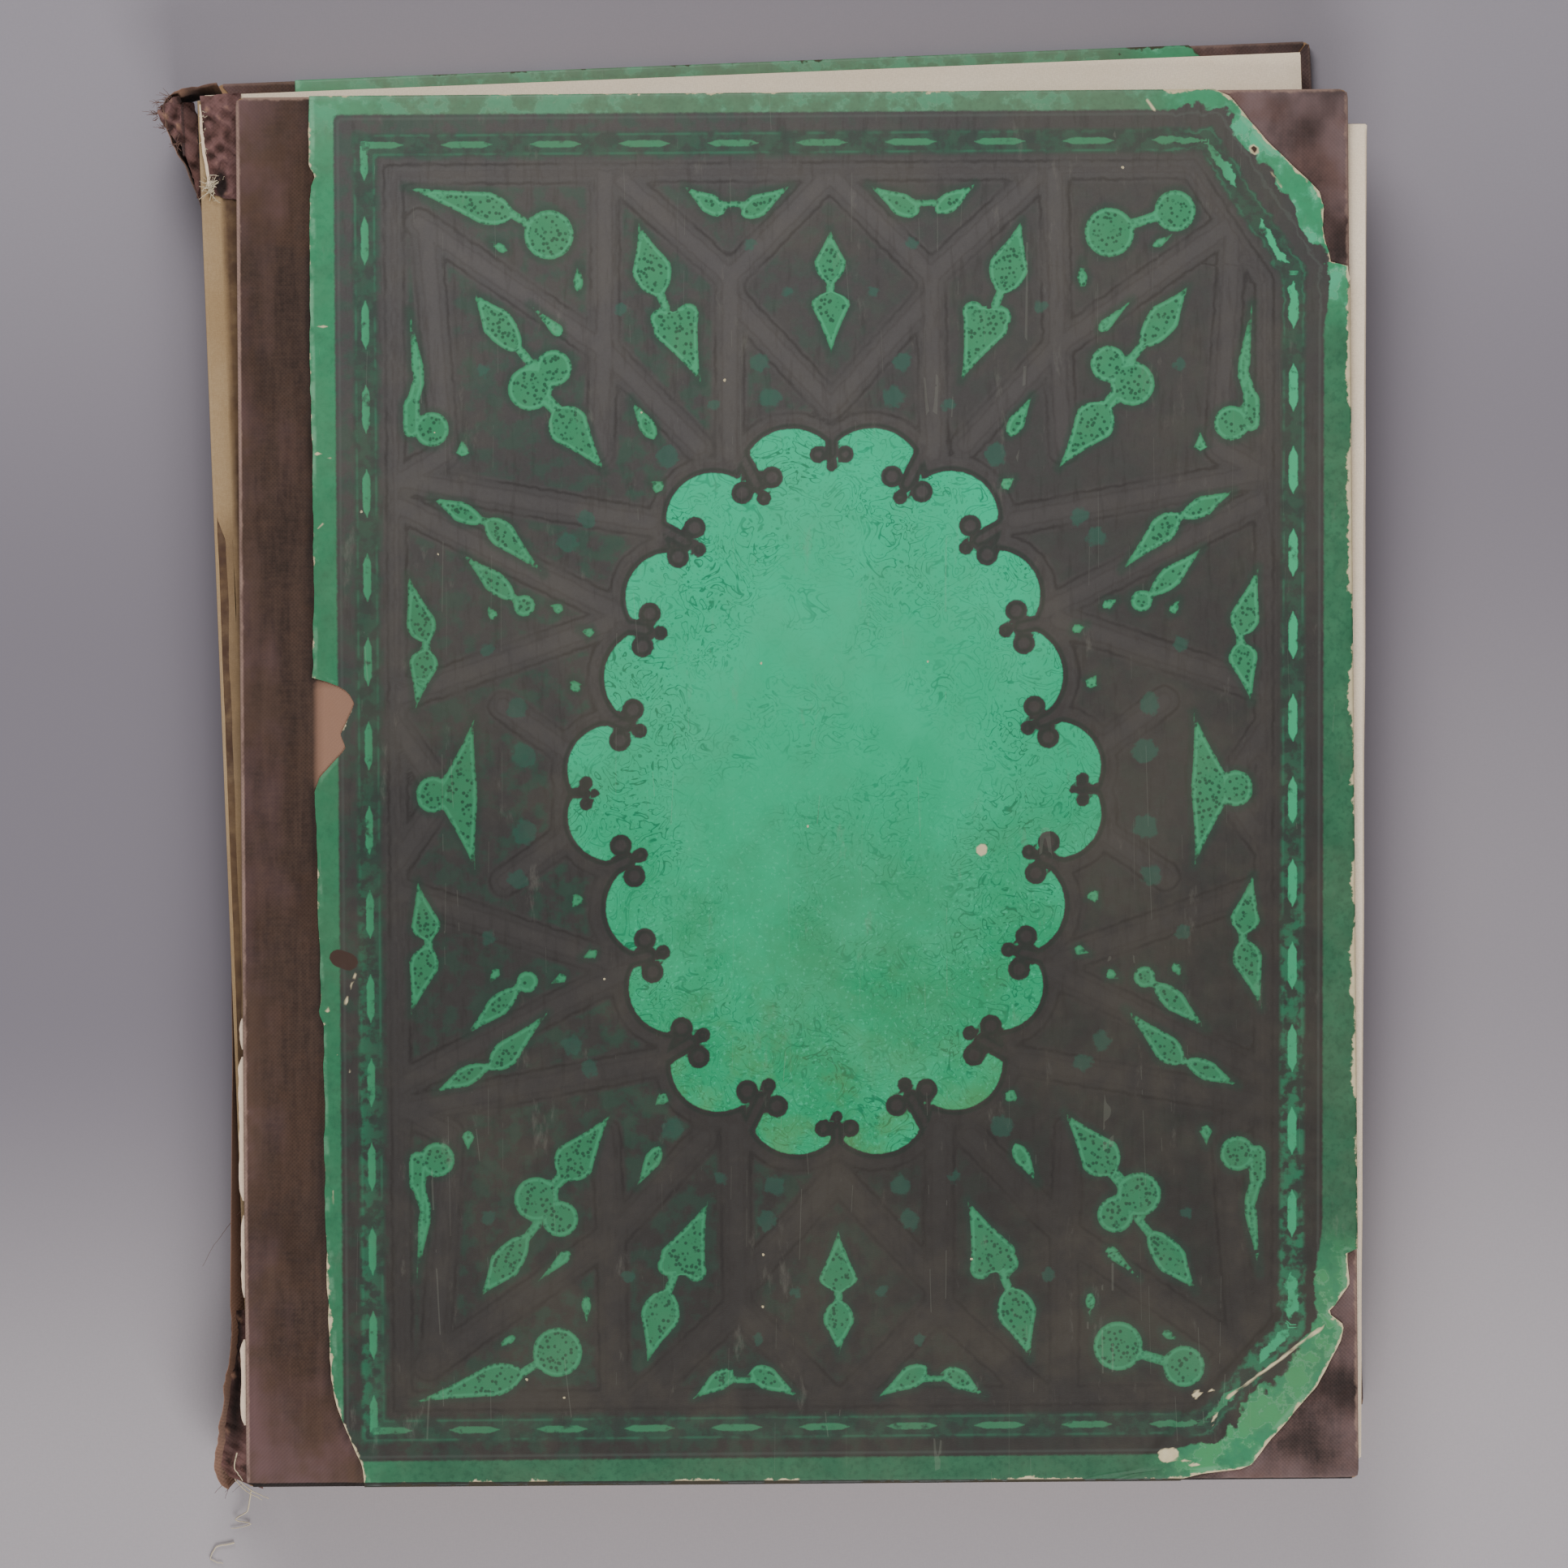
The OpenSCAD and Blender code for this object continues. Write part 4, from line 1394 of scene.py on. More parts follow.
@dataclass(frozen=True)
class PaperFinish(Finish):
    """Plain old paper or board: fibres, browned edges and spots."""

    clean: str = "#fff2de"
    aged: str = "#fbe6c8"
    browned: str = "#a98b60"
    spot: str = "#8f7148"
    browning: float = 0.1
    half: tuple[float, float] = (147.6, 184.0)
    fibre_depth: float = 0.05
    stain: str = "#5a3d2b"

    def sockets(self, place: Wire, effects: SharedEffects) -> dict[str, Value]:
        """The paper's colour, its browned edges, its spots, and fibres with painted shade in their low places.

        Args:
            place: Places in millimetres.
            effects: The shared node groups.

        Returns:
            The shader's inputs by name.
        """
        colour = place.noise(35.0, 5.0).between(self.clean, self.aged)
        if self.own:
            tone, stain = place.attributes("tone", "stain")
            stained = stain * place.noise(5.0, 4.0).fade(0.1, 0.6, 0.6, 1.0)
            colour = colour.coats((tone * 0.45, self.aged), (stained, self.stain))
        edge = (inside_outline(place, self.half) - place.noise(6.0, 4.0) * 5.0).fade(-3.0, 2.0, 1.0, 0.0)
        spots = place.shared(effects.specks, "Mask", Spacing=13.0, Radius=0.7, Share=0.35)
        height = place.shared(effects.fibres, "Height", Size=1.0)
        colour = colour.coats(
            (edge * self.browning, self.browned),
            (place.shared(effects.grime, "Mask", Size=30.0) * 0.3, self.aged),
            (spots * 0.45, self.spot),
            # painted shade: darker where the fibres are low
            (height.fade(0.4, 0.62, 0.18, 0.0), self.spot),
        )
        return {"Base Color": colour, "Roughness": height.fade(0.3, 0.7, 0.95, 0.82),
                "Normal": height.bump(self.fibre_depth, 0.6)}


@dataclass(frozen=True)
class ThreadFinish(Finish):
    """Linen or cotton thread: a twist along it, and old dirt."""

    pale: str = "#cdbd9c"
    dirty: str = "#8f7b5b"

    def sockets(self, place: Wire, effects: SharedEffects) -> dict[str, Value]:
        """The twist, with painted shade in its grooves, and the dirt.

        Args:
            place: Places in millimetres.
            effects: The shared node groups.

        Returns:
            The shader's inputs by name.
        """
        x, y, z = place.parts()
        turns = (x + y + z) * 9.0
        twist = turns.math("SINE", turns)
        dirt = place.shared(effects.grime, "Mask", Size=12.0)
        # painted shade: darker in the grooves of the twist
        colour = place.noise(7.0, 4.0).between(self.pale, self.dirty).coats(
            (twist.fade(-1.0, 1.0, 0.25, 0.0), "#5f4d36"), (dirt * 0.35, self.dirty))
        return {"Base Color": colour, "Roughness": dirt.fade(0.0, 1.0, 0.8, 0.95), "Normal": twist.bump(0.03, 0.6)}


@dataclass(frozen=True)
class FloorPaper(Finish):
    """Grey seamless paper under the book, graded with painted light."""

    def sockets(self, place: Wire, effects: SharedEffects) -> dict[str, Value]:
        """The paper's grey, graded with painted light, and its faint tooth with painted shade in its hollows.

        Args:
            place: Places in millimetres.
            effects: The shared node groups.

        Returns:
            The shader's inputs by name.
        """
        x, y, _ = place.parts()
        tooth = place.shared(effects.fibres, "Height", Size=1.5)
        # painted light: darker across the middle and lighter towards the head and the foot, as the lamps' light falls
        # off; a lighter patch right of the book lifts its shadow
        colour = y.fade(30.0, 200.0).between("#78727a", "#8d878e").coats(
            (y.fade(-60.0, -200.0), "#a49da0"),
            (x.fade(140.0, 190.0) * y.fade(130.0, -60.0) * 0.4, "#a8a1a4"),
            # painted shade: darker in the tooth's low places
            (tooth.fade(0.4, 0.6, 0.08, 0.0), "#6f6b70"),
        )
        return {"Base Color": colour, "Normal": tooth.bump(0.05, 0.4), "Roughness": 0.85}


# Sub-assemblies


def level(value: float) -> Line:
    """A line with the same x for every y."""
    return lambda y: np.full_like(y, value)


def dress(piece: bpy.types.Object, material: bpy.types.Material) -> None:
    """Gives a piece, or a solid of the frame, its material.

    Args:
        piece: The piece.
        material: Its material.
    """
    if piece.material_slots:
        for slot in piece.material_slots:
            slot.material = material
    else:
        piece.data.materials.append(material)


NO_HOLES = ornaments((0.0, 0.0, -50.0))


@dataclass
class Cover:
    """A cover's cloth strip, cloth corners and printed paper; its board and pastedown keep their solids."""

    side: str
    place: Placement
    leg: float
    left_tear: tuple[tuple[float, float], ...]
    right_tear: tuple[tuple[float, float], ...]
    chips: tuple[Ornament, ...]
    grid: tuple[float, float]
    spine_foot: float
    holes: tuple[Ornament, ...] = NO_HOLES
    # share of the rubbed colours, pale edges and tail line that shows; low on the back cover as painted shade, since it
    # lies in shadow
    lit_wear: float = 1.0
    roughness: float = 0.5
    corner_slope: float = 0.95
    bare_from: float = -132.5
    bare_middle: float = 15.5
    ornament: Strapwork = field(default_factory=Strapwork)

    def _corner_line(self, sign: float) -> Line:
        """The inner edge of a cloth corner, a straight diagonal, as x for each y."""
        return lambda y: (BOOK.half_w - self.leg + (BOOK.half_h - sign * y) * self.corner_slope
                          + 0.35 * ripple(y, 8.0, 5))

    def _raised(self, x: np.ndarray, y: np.ndarray) -> np.ndarray:
        """Height of the paper over the cloth's edges beneath it, with faint waves.

        The step is an eased rise where the cloth begins: left of the strip's edge, and past each
        corner's diagonal.

        Args:
            x: Places across.
            y: Places along the height.

        Returns:
            The height at each place.
        """
        past = [(x - self._corner_line(sign)(y)) * 0.7 for sign in (1.0, -1.0)]
        rise = np.maximum.reduce([eased(value / 1.1 + 0.5) for value in (BOOK.strip_x + 0.008 * y - x - 1.6, *past)])
        return 0.26 * rise + 0.07 * patches(x, y, 45.0, 21) + 0.03 * patches(x, y, 9.0, 22)

    def _print_fields(self, x: np.ndarray, y: np.ndarray) -> dict[str, np.ndarray]:
        """The print's distances, and those to the torn edges and to the chips.

        Args:
            x: Places across.
            y: Places along the height.

        Returns:
            The distances by name.
        """
        values = self.ornament.fields(x, y)
        left = distance_to_path(x, y, self.left_tear)
        right = [distance_to_path(x, y, path) for path in self._torn_paths()]
        ragged = 0.45 * patches(x, y, 9.0, 8) + np.where(y < -125, -0.25, np.where(y < 150, 0.65, 0.3))
        values["tear"] = np.clip(np.minimum.reduce([left + ragged] + right), 0, 20)
        values["hole"] = np.clip(nearest(self.holes, x, y) + 0.5 * patches(x, y, 3.0, 9), -3, 20)
        values["chip"] = np.clip(nearest(self.chips, x, y) + 0.6 * patches(x, y, 2.5, 7), -3, 20)
        return values

    def _torn_paths(self) -> list[list[tuple[float, float]]]:
        """The torn stretches of the right edge: those that lie inside the cover."""
        inside = [point for point in self.right_tear if point[0] < BOOK.half_w + 1]
        return [[point for point in inside if sign * point[1] > 0] for sign in (1, -1)]

    def _strip_fields(self, x: np.ndarray, y: np.ndarray) -> dict[str, np.ndarray]:
        """How far the cloth strip is rubbed: most along the spine edge, then at head and tail, in streaks; painted
        light lightens it towards head and tail, and a painted shadow darkens it beside the paper's torn edge.

        Args:
            x: Places across.
            y: Places along the height.

        Returns:
            The rubbed, bare and dark shares by name, and the cover's share of its rubbing that shows, which is low on a
            cover in shade as painted shade.
        """
        across = (x + BOOK.half_w) / BOOK.cloth_on_board
        rub = 0.75 * np.exp(-((across / 0.14) ** 2)) + 0.15 * np.exp(-(((across - 0.3) / 0.15) ** 2))
        rub += np.clip((np.abs(y) - 145) / 38, 0, 1) * np.where(y > 0, 0.25, 0.7)
        rub += 0.5 * patches(x, y * 0.25, 8.0, 51, 4) + 0.25 * patches(x * 0.3, y, 9.0, 52, 4) - 0.2
        # painted light: lighter towards head and tail beyond 90 mm from the middle
        rub += 0.12 * np.clip((np.abs(y) - 90) / 50, 0, 1)
        reach = 2 * self.bare_middle - np.abs(y - self.bare_middle) - self.bare_middle
        torn_off = np.clip((x - self.bare_from) / 2, 0, 1) * np.clip(reach / 2, 0, 1)
        # painted shadow: a dark band just left of the paper's torn edge; the broad patches after it are the cloth's own
        # darker tone
        gap = line_through(self.left_tear)(y) - x
        shade = 0.85 * np.exp(-(((gap - 0.4) / 1.1) ** 2)) * np.clip(0.75 + 0.8 * patches(x, y, 14.0, 54), 0, 1)
        shade = np.maximum(shade * (1 - torn_off), np.clip(0.9 * patches(x, y * 0.4, 12.0, 55, 4) - 0.2, 0, 0.5))
        return {"rub": np.clip(rub, 0, 1), "bare": torn_off, "dark": shade, "cover": self.lit_wear}

    def _corner_fields(self, x: np.ndarray, y: np.ndarray) -> dict[str, np.ndarray]:
        """How far a cloth corner is rubbed: in patches, more near its outer edges.

        Args:
            x: Places across.
            y: Places along the height.

        Returns:
            The rubbed and dark shares by name, and the cover's share of its rubbing that shows, which is low on a cover
            in shade as painted shade.
        """
        side = np.minimum(BOOK.half_w - np.abs(x), BOOK.half_h - np.abs(y))
        blotch = patches(x, y, 15.0, 53, 4)
        head = np.where(y > 0, 0.25 + 0.65 * np.exp(-(BOOK.half_h - y) / 16.0), 0.12)
        rub = (head + 0.8 * blotch + 0.4 * np.exp(-side / 5.0)) * self.lit_wear
        return {"rub": np.clip(rub, 0, 1), "dark": np.clip(-1.4 * blotch - 0.1, 0, 0.75), "cover": self.lit_wear}

    def build(self) -> dict[str, bpy.types.Object]:
        """Builds the cover's own pieces and hides the solids that they stand for.

        Returns:
            The pieces by name.
        """
        cloth = {"thickness": BOOK.cloth_t, "top": BOOK.board_t + 0.02, "bottom": 0.1, "grow": -0.12,
                 "step": (1.6, 1.6), "rounding": 0.9}
        sheets = {"side_paper": WrappedSheet(
            left=line_through(self.left_tear, 0.35, 3), right=line_through(self.right_tear, self.roughness, 4),
            thickness=BOOK.paper_t, top=BOOK.board_t + BOOK.paper_t, grow=0.12, edges=(Edge.HEAD, Edge.TAIL, Edge.FORE),
            step=self.grid, relief=self._raised if self.side == "front" else None, fields=self._print_fields,
        ), "cloth_strip": WrappedSheet(
            left=level(-FAR), right=lambda y: np.full_like(y, BOOK.strip_x) + 0.3 * ripple(y, 12.0, 9),
            edges=(Edge.HEAD, Edge.TAIL, Edge.SPINE), spine_foot=self.spine_foot,
            relief=lambda x, y: 0.16 + 0.08 * patches(x, y, 7.0, 31) + 0.03 * patches(x, y, 2.0, 32),
            fields=self._strip_fields, **cloth,
        )}
        start = BOOK.half_h - self.leg / self.corner_slope
        for name, sign, edge, low, high in (("head_corner", 1.0, Edge.HEAD, start, FAR),
                                            ("tail_corner", -1.0, Edge.TAIL, -FAR, -start)):
            sheets[name] = WrappedSheet(
                left=self._corner_line(sign), right=level(FAR), edges=(edge, Edge.FORE), low=low, high=high,
                relief=lambda x, y: 0.14 + 0.09 * patches(x, y, 6.0, 33) + 0.04 * patches(x, y, 2.0, 34),
                fields=self._corner_fields, **cloth,
            )
        LOG.info("%s cover: %s", self.side, ", ".join(sheets))
        return {name: self._lay(sheet, name) for name, sheet in sheets.items()}

    def _lay(self, sheet: WrappedSheet, name: str) -> bpy.types.Object:
        """Lays one sheet of the cover and hides its solid.

        Args:
            sheet: The sheet.
            name: Its name on the cover.

        Returns:
            The piece.
        """
        rings, values = sheet.rings()
        slot = "printed_paper" if name == "side_paper" else "bookcloth"
        return Shape().add_rings(rings, **values).lay(
            f"{self.side}_{name}_worn", self.place, slot, f"{self.side}_{name}")


FRONT_LEFT = (
    (-132.3, 191.1), (-132.3, 171.3), (-130.6, 168.8), (-132.0, 165.7), (-132.4, 127.9), (-131.8, 61.3),
    (-132.4, 31.1), (-126.5, 29.6), (-122.5, 27.2), (-121.0, 24.1), (-124.8, 15.7), (-123.5, 11.7), (-130.8, 3.7),
    (-132.0, 0.2), (-131.1, -41.0), (-130.9, -57.0), (-131.6, -60.5), (-130.2, -63.6), (-130.0, -116.5),
    (-129.3, -150.0), (-128.9, -161.0), (-127.6, -167.7), (-123.7, -177.7), (-120.6, -184.4), (-119.8, -191.0),
)
FRONT_RIGHT = (
    (115.5, 190.9), (116.5, 190.0), (119.7, 188.6), (130.0, 176.3), (134.2, 172.3), (144.1, 162.2), (145.2, 158.4),
    (145.6, 149.5), (147.1, 142.6), (151.8, 142.1), (152.8, 136.8), (160.0, 135.0), (160.0, -126.0),
    (149.6, -128.5), (150.2, -137.4), (145.9, -143.2), (144.4, -144.7), (148.5, -148.1), (147.4, -152.7),
    (141.1, -165.1), (128.3, -179.3), (122.0, -187.2), (114.7, -188.0), (105.5, -189.1), (103.0, -191.0),
)
FRONT_CHIPS = ornaments(
    (99.4, -183.5, 2.0), (108.2, -166.9, 1.2), (50.5, -17.5, 1.6), (126.5, 173.9, 1.4),
    (116.2, -168.0, 127.4, -160.1, 0.3), (127.4, -160.1, 147.2, -145.2, 0.45), (113.5, -171.5, 112.0, -176.0, 0.5),
    (112.3, -166.0, 0.9), (101.2, -183.2, 1.9), (104.0, -184.8, 108.5, -186.6, 0.6),
    (131.0, 168.0, 134.0, 163.5, 0.35), (126.2, 174.0, 0.8), (97.0, 188.0, 99.5, 184.5, 0.35),
    (-121.2, -49.8, -124.7, -59.8, 0.25), (-129.2, -59.6, 1.0), (-129.8, -63.4, 0.6), (-126.3, -72.0, 0.5),
    (-123.0, -76.5, 0.7), (-128.0, -109.0, -128.2, -113.5, 0.35), (-131.5, 128.0, -128.0, 127.2, 0.3),
    (-131.0, 92.6, -126.5, 91.0, 0.3), (-130.5, 72.0, -129.0, 73.6, 0.3),
)
FRONT_HOLES = ornaments((-126.0, -45.6, -123.0, -46.8, 2.1), (126.5, 173.9, 0.8))
BACK_CHIPS = ornaments((140.0, 120.0, 1.5), (-90.0, -187.0, 2.0))
BACK_LEFT = ((-130.5, 191.0), (-130.5, 60.0), (-130.9, -20.0), (-130.3, -191.0))
BACK_RIGHT = ((117.5, 191.0), (118.5, 190.5), (152.5, 156.5), (160.0, 155.0), (160.0, -155.0), (152.5, -156.5),
              (118.5, -190.5), (117.5, -191.0))


@dataclass
class Leaves:
    """Folded sections of leaves and single leaves, all a little uneven at their edges."""

    section_rows: int = 56
    single_rows: int = 80
    first_seed: int = 40

    def _folded(self, shape: Shape, k: int, bottom: float, rng: np.random.Generator) -> None:
        """Adds one folded sheet: its outer face, round the fold, and its inner face back.

        The fold is a half circle about the section's axis; each leaf's end wanders a little along y.

        Args:
            shape: Shape that takes the sheet.
            k: Number of the sheet in its section, from the inside.
            bottom: Height of the section's underside.
            rng: Source of the unevenness.
        """
        inner = BOOK.fold_gap / 2 + k * (BOOK.leaf_t + BOOK.leaf_gap)
        middle_x, middle_z = BOOK.fold_x + BOOK.section_t / 2, bottom + BOOK.section_t / 2
        share = np.linspace(-1, 1, self.section_rows)[:, None]
        shifts, seeds = rng.normal(0, 0.28, 2).clip(-0.6, 0.6), rng.integers(0, 10000, 2)
        stretch, tones = rng.normal(0, 0.22, 4).clip(-0.5, 0.5), rng.uniform(0, 1, 2)
        ends = [middle_x + BOOK.leaf_w - BOOK.section_t / 2 + shift
                + 0.22 * ripple(share * BOOK.leaf_h / 2, 38.0, int(seed)) for shift, seed in zip(shifts, seeds)]
        along = np.array([1.0, 0.985, 0.8, 0.5, 0.2, 0.0])
        arc = np.radians(np.linspace(90, 270, 9)[1:-1])
        flat = np.ones(len(along))

        def face(radius: float) -> np.ndarray:
            """x and z of a face: the upper leaf from its end, the fold, and the lower leaf to its end.

            Args:
                radius: Distance of the face from the fold's middle line.

            Returns:
                x and z of each row's points, stacked.
            """
            upper, lower = (middle_x + along * (end - middle_x) for end in ends)
            fold = np.tile(middle_x + radius * np.cos(arc), (len(share), 1))
            z = middle_z + radius * np.concatenate([flat, np.sin(arc), -flat])
            return np.array(np.broadcast_arrays(np.concatenate([upper, fold, lower[:, ::-1]], axis=1), z))

        x, z = np.concatenate([face(inner + BOOK.leaf_t), face(inner)[..., ::-1]], axis=2)
        half = np.concatenate([flat, np.linspace(1, 0, len(arc)), 0 * flat])
        upper_leaf = np.concatenate([half, half[::-1]])
        head, tail, tone = (first * upper_leaf + second * (1 - upper_leaf)
                            for first, second in (stretch[:2], stretch[2:], tones))
        y = BOOK.block_shift + share * BOOK.leaf_h / 2
        y = y + np.where(share > 0, head, tail) * np.abs(share) ** 6
        shape.add_rings(np.stack([x, y, z], axis=-1), tone=tone)

    def section(self, number: int, bottom: float, place: Placement) -> bpy.types.Object:
        """Builds one section of folded sheets.

        Args:
            number: Number of the section, from the front.
            bottom: Height of its underside.
            place: Where its stack lies.

        Returns:
            The piece.
        """
        shape = Shape()
        rng = np.random.default_rng(self.first_seed + number)
        for k in range(BOOK.sheets):
            self._folded(shape, k, bottom, rng)
        return shape.lay(f"section_{number}_leaves", place, "leaf_paper", f"section_{number}")

    def single(self, name: str, bottom: float, place: Placement, seed: int) -> bpy.types.Object:
        """Builds a single leaf: a flat ring at each y, with wandering ends.

        Args:
            name: Node that the leaf stands for.
            bottom: Height of its underside.
            place: Where its stack lies.
            seed: Seed of its unevenness.

        Returns:
            The piece.
        """
        y = np.linspace(-BOOK.leaf_h / 2, BOOK.leaf_h / 2, self.single_rows)[:, None]
        end = BOOK.fold_x + BOOK.leaf_w - 0.2 + 0.25 * ripple(y, 30.0, seed)
        share = np.array([0.0, 0.02, 0.2, 0.4, 0.6, 0.8, 0.98, 1.0])
        x = BOOK.fold_x + np.concatenate([share, share[::-1]]) * (end - BOOK.fold_x)
        z = bottom + np.repeat([BOOK.leaf_t, 0.0], len(share))
        rings = np.stack(np.broadcast_arrays(x, y + BOOK.block_shift, z), axis=-1)
        return Shape().add_rings(rings, tone=0.35).lay(f"{name}_sheet", place, "leaf_paper", name)

    def build(self) -> list[bpy.types.Object]:
        """Builds every section and single leaf, in the order of their seeds.

        Returns:
            The pieces.
        """
        sections = [(1, BOOK.loose_z, IN_LOOSE_LEAVES), (2, BOOK.crack_z + BOOK.pitch, IN_UPPER_LEAVES),
                    (3, BOOK.crack_z, IN_UPPER_LEAVES)]
        sections += [(number, BOOK.lower_z + (8 - number) * BOOK.pitch, IN_BLOCK) for number in range(4, 9)]
        singles = (("front_flyleaf", BOOK.front_flyleaf_z, IN_LOOSE_LEAVES, 61),
                   ("back_flyleaf", BOOK.flyleaf_z, IN_BLOCK, 62))
        return [self.section(*row) for row in sections] + [self.single(*row) for row in singles]


@dataclass
class Spine:
    """The back of the book: its torn cloth, and the lining over the shoulder."""

    head_flare: float = 7.6
    tail_flare: float = 6.4
    flare_len: float = 40.0
    head_curl: float = 9.0
    tail_curl: float = 4.0
    flap_z: float = 4.1
    tail_tip: tuple[float, float] = (-161.4, -197.6)
    lean: tuple[tuple[float, ...], tuple[float, ...]] = (
        (-194.0, -180.0, -169.0, -149.0, -130.0, -113.0, -80.0, -45.0, 158.0, 176.0, 190.0),
        (2.6, 1.6, 2.6, 4.3, 3.4, 2.6, 1.0, 0.0, 0.0, 1.5, 1.2),
    )
    crack_top: float = 67.0
    crack_low: float = -122.0

    def _flare(self, y: np.ndarray) -> np.ndarray:
        """How far the cloth stands out: an eased rise towards the head and towards the tail.

        Args:
            y: Places along the spine.

        Returns:
            The distance at each place.
        """
        head = eased((y - BOOK.half_h + self.flare_len) / (self.flare_len - self.head_curl))
        tail = eased((-y - BOOK.half_h + self.flare_len) / (self.flare_len - self.tail_curl))
        return self.head_flare * head + self.tail_flare * tail

    def _path(self) -> np.ndarray:
        """The cloth's middle line in plan, from the head's torn end to the tail's: two quadratic curls
        joined by the flared wall.

        Returns:
            One point in each row.
        """
        wall = BOOK.cloth_x + BOOK.cloth_t / 2
        top, low = BOOK.half_h - self.head_curl, -BOOK.half_h + self.tail_curl
        y = np.arange(top, low, -1.5)
        middle = np.column_stack([wall - self._flare(y), y])
        head_end = np.array([-BOOK.half_w + self.head_curl / 4, BOOK.half_h - 3.7])
        t = np.linspace(0, 0.94, 14)[:, None]
        head_knee = np.array([middle[0, 0] + 0.1, head_end[1] - 0.7])
        head = (1 - t) ** 2 * head_end + 2 * t * (1 - t) * head_knee + t**2 * middle[0]
        t = np.linspace(0.1, 1, 12)[:, None]
        tail_knee = middle[-1] + np.array([-2.6, -8.0])
        tail = (1 - t) ** 2 * middle[-1] + 2 * t * (1 - t) * tail_knee + t**2 * np.array(self.tail_tip)
        return np.concatenate([head, middle, tail])

    def cloth(self) -> bpy.types.Object:
        """Builds the torn spine cloth: a wall that follows its path, with a frayed upper edge.

        At each place along the path a ring goes up its outer side and down its inner side; the upper
        edge rises with the flare and is notched by noise.

        Returns:
            The piece.
        """
        path = self._path()
        along = np.gradient(path, axis=0)
        along /= np.linalg.norm(along, axis=1, keepdims=True)
        out = np.column_stack([along[:, 1], -along[:, 0]])
        run = np.concatenate([[0], np.cumsum(np.linalg.norm(np.diff(path, axis=0), axis=1))])
        y = path[:, 1]
        flare = self._flare(y)
        top = BOOK.crack_z - 0.55 - 0.35 * ripple(run, 6.0, 71) + flare
        top = top + np.where(flare > 1.0, 0.7 * ripple(run, 3.0, 72), 0.0)
        top = np.where(y < -BOOK.half_h, np.maximum(top - 1.2 * (-BOOK.half_h - y), 9.0), top)
        foot = np.interp(np.abs(y), [142.0, 150.5, 190.0], [BOOK.wall_z, self.flap_z, self.flap_z])
        foot = foot + np.where(flare > 1.0, 0.6 * np.abs(ripple(run, 4.0, 73)), 0.0)
        steps = np.linspace(0, 1, 9)
        z = foot[:, None] + steps * (top - foot)[:, None]
        bulge = 0.12 * patches(np.broadcast_to(run[:, None], z.shape), z, 12.0, 74)
        bulge *= np.clip(flare, 0, 2)[:, None] * 1.5
        half = BOOK.cloth_t / 2 * np.array([0.8, 1, 1, 1, 1, 1, 1, 0.9, 0.4])
        bulge = bulge + np.interp(y, *self.lean)[:, None] * steps**2
        crumple = np.clip(flare - 1.0, 0, 2) * (0.3 * ripple(run, 5.0, 75) + 0.25 * ripple(run, 2.6, 76))
        bulge = bulge + crumple[:, None] * steps**3
        outer, inner = (path[:, None] + out[:, None] * (side * half + bulge)[..., None] for side in (1, -1))
        xy = np.concatenate([outer, inner[:, ::-1]], axis=1)
        rings = np.concatenate([xy, np.concatenate([z, z[:, ::-1]], axis=1)[..., None]], axis=-1)
        inner_side = np.clip((steps[::-1] - 0.3) / 0.6, 0, 1)
        backing = np.concatenate([np.where(steps > 0.93, 0.9, 0.0), inner_side])
        backing = backing * np.clip(0.6 + 0.7 * ripple(run, 3.4, 77), 0.05, 1)[:, None]
        tail = np.clip((-y - 70) / 30, 0, 1)[:, None]
        pale = 0.95 * np.concatenate([np.clip((steps - 0.5) / 0.3, 0, 1), np.clip((steps[::-1] - 0.1) / 0.3, 0, 1)])
        # painted shade: the wall's inner side darkens towards its foot, less at the tail
        shade = np.concatenate([0 * steps, 0.9 * (1 - inner_side)]) * (1 - 0.8 * tail)
        shape = Shape().add_rings(rings, rub=0.4, bare=np.maximum(backing, tail * pale), dark=shade)
        return shape.lay("spine_cloth_torn", IN_BLOCK, "bookcloth", "spine_cloth")

    def shoulder(self) -> bpy.types.Object:
        """Builds the tan lining over the shoulder: the wall with its edge, and the lap beyond the crack.

        Both are rings at each y; the crack's width is an eased bump along y, and closes at its ends.

        Returns:
            The piece.
        """
        reach = BOOK.leaf_h / 2 - 1.0
        y = np.linspace(-reach, reach, 300)
        left = BOOK.lining_x
        open_share = np.clip((self.crack_top - y) / 6.0, 0, 1) * np.clip((y - self.crack_low) / 20.0, 0, 1)
        crack_left = left + 0.95 + 0.12 * ripple(y, 9.0, 81)
        width = open_share * (np.interp(y, [-100, 60], [1.3, 2.2]) + 0.35 * ripple(y, 14.0, 82)) + 0.01
        crack_right = crack_left + np.clip(width, 0.01, None)
        low, top = BOOK.crack_z + 0.05, BOOK.shoulder_z + BOOK.lining_t
        sag = open_share * 0.15
        edge = 0.25

        def rings(*columns: tuple[Number, Number]) -> np.ndarray:
            """Rings from (x, z) columns at each y."""
            x, z = (np.stack([np.broadcast_to(column[i], y.shape) for column in columns], axis=1) for i in (0, 1))
            return np.stack([x, np.broadcast_to(y[:, None] + BOOK.block_shift, x.shape), z], axis=-1)

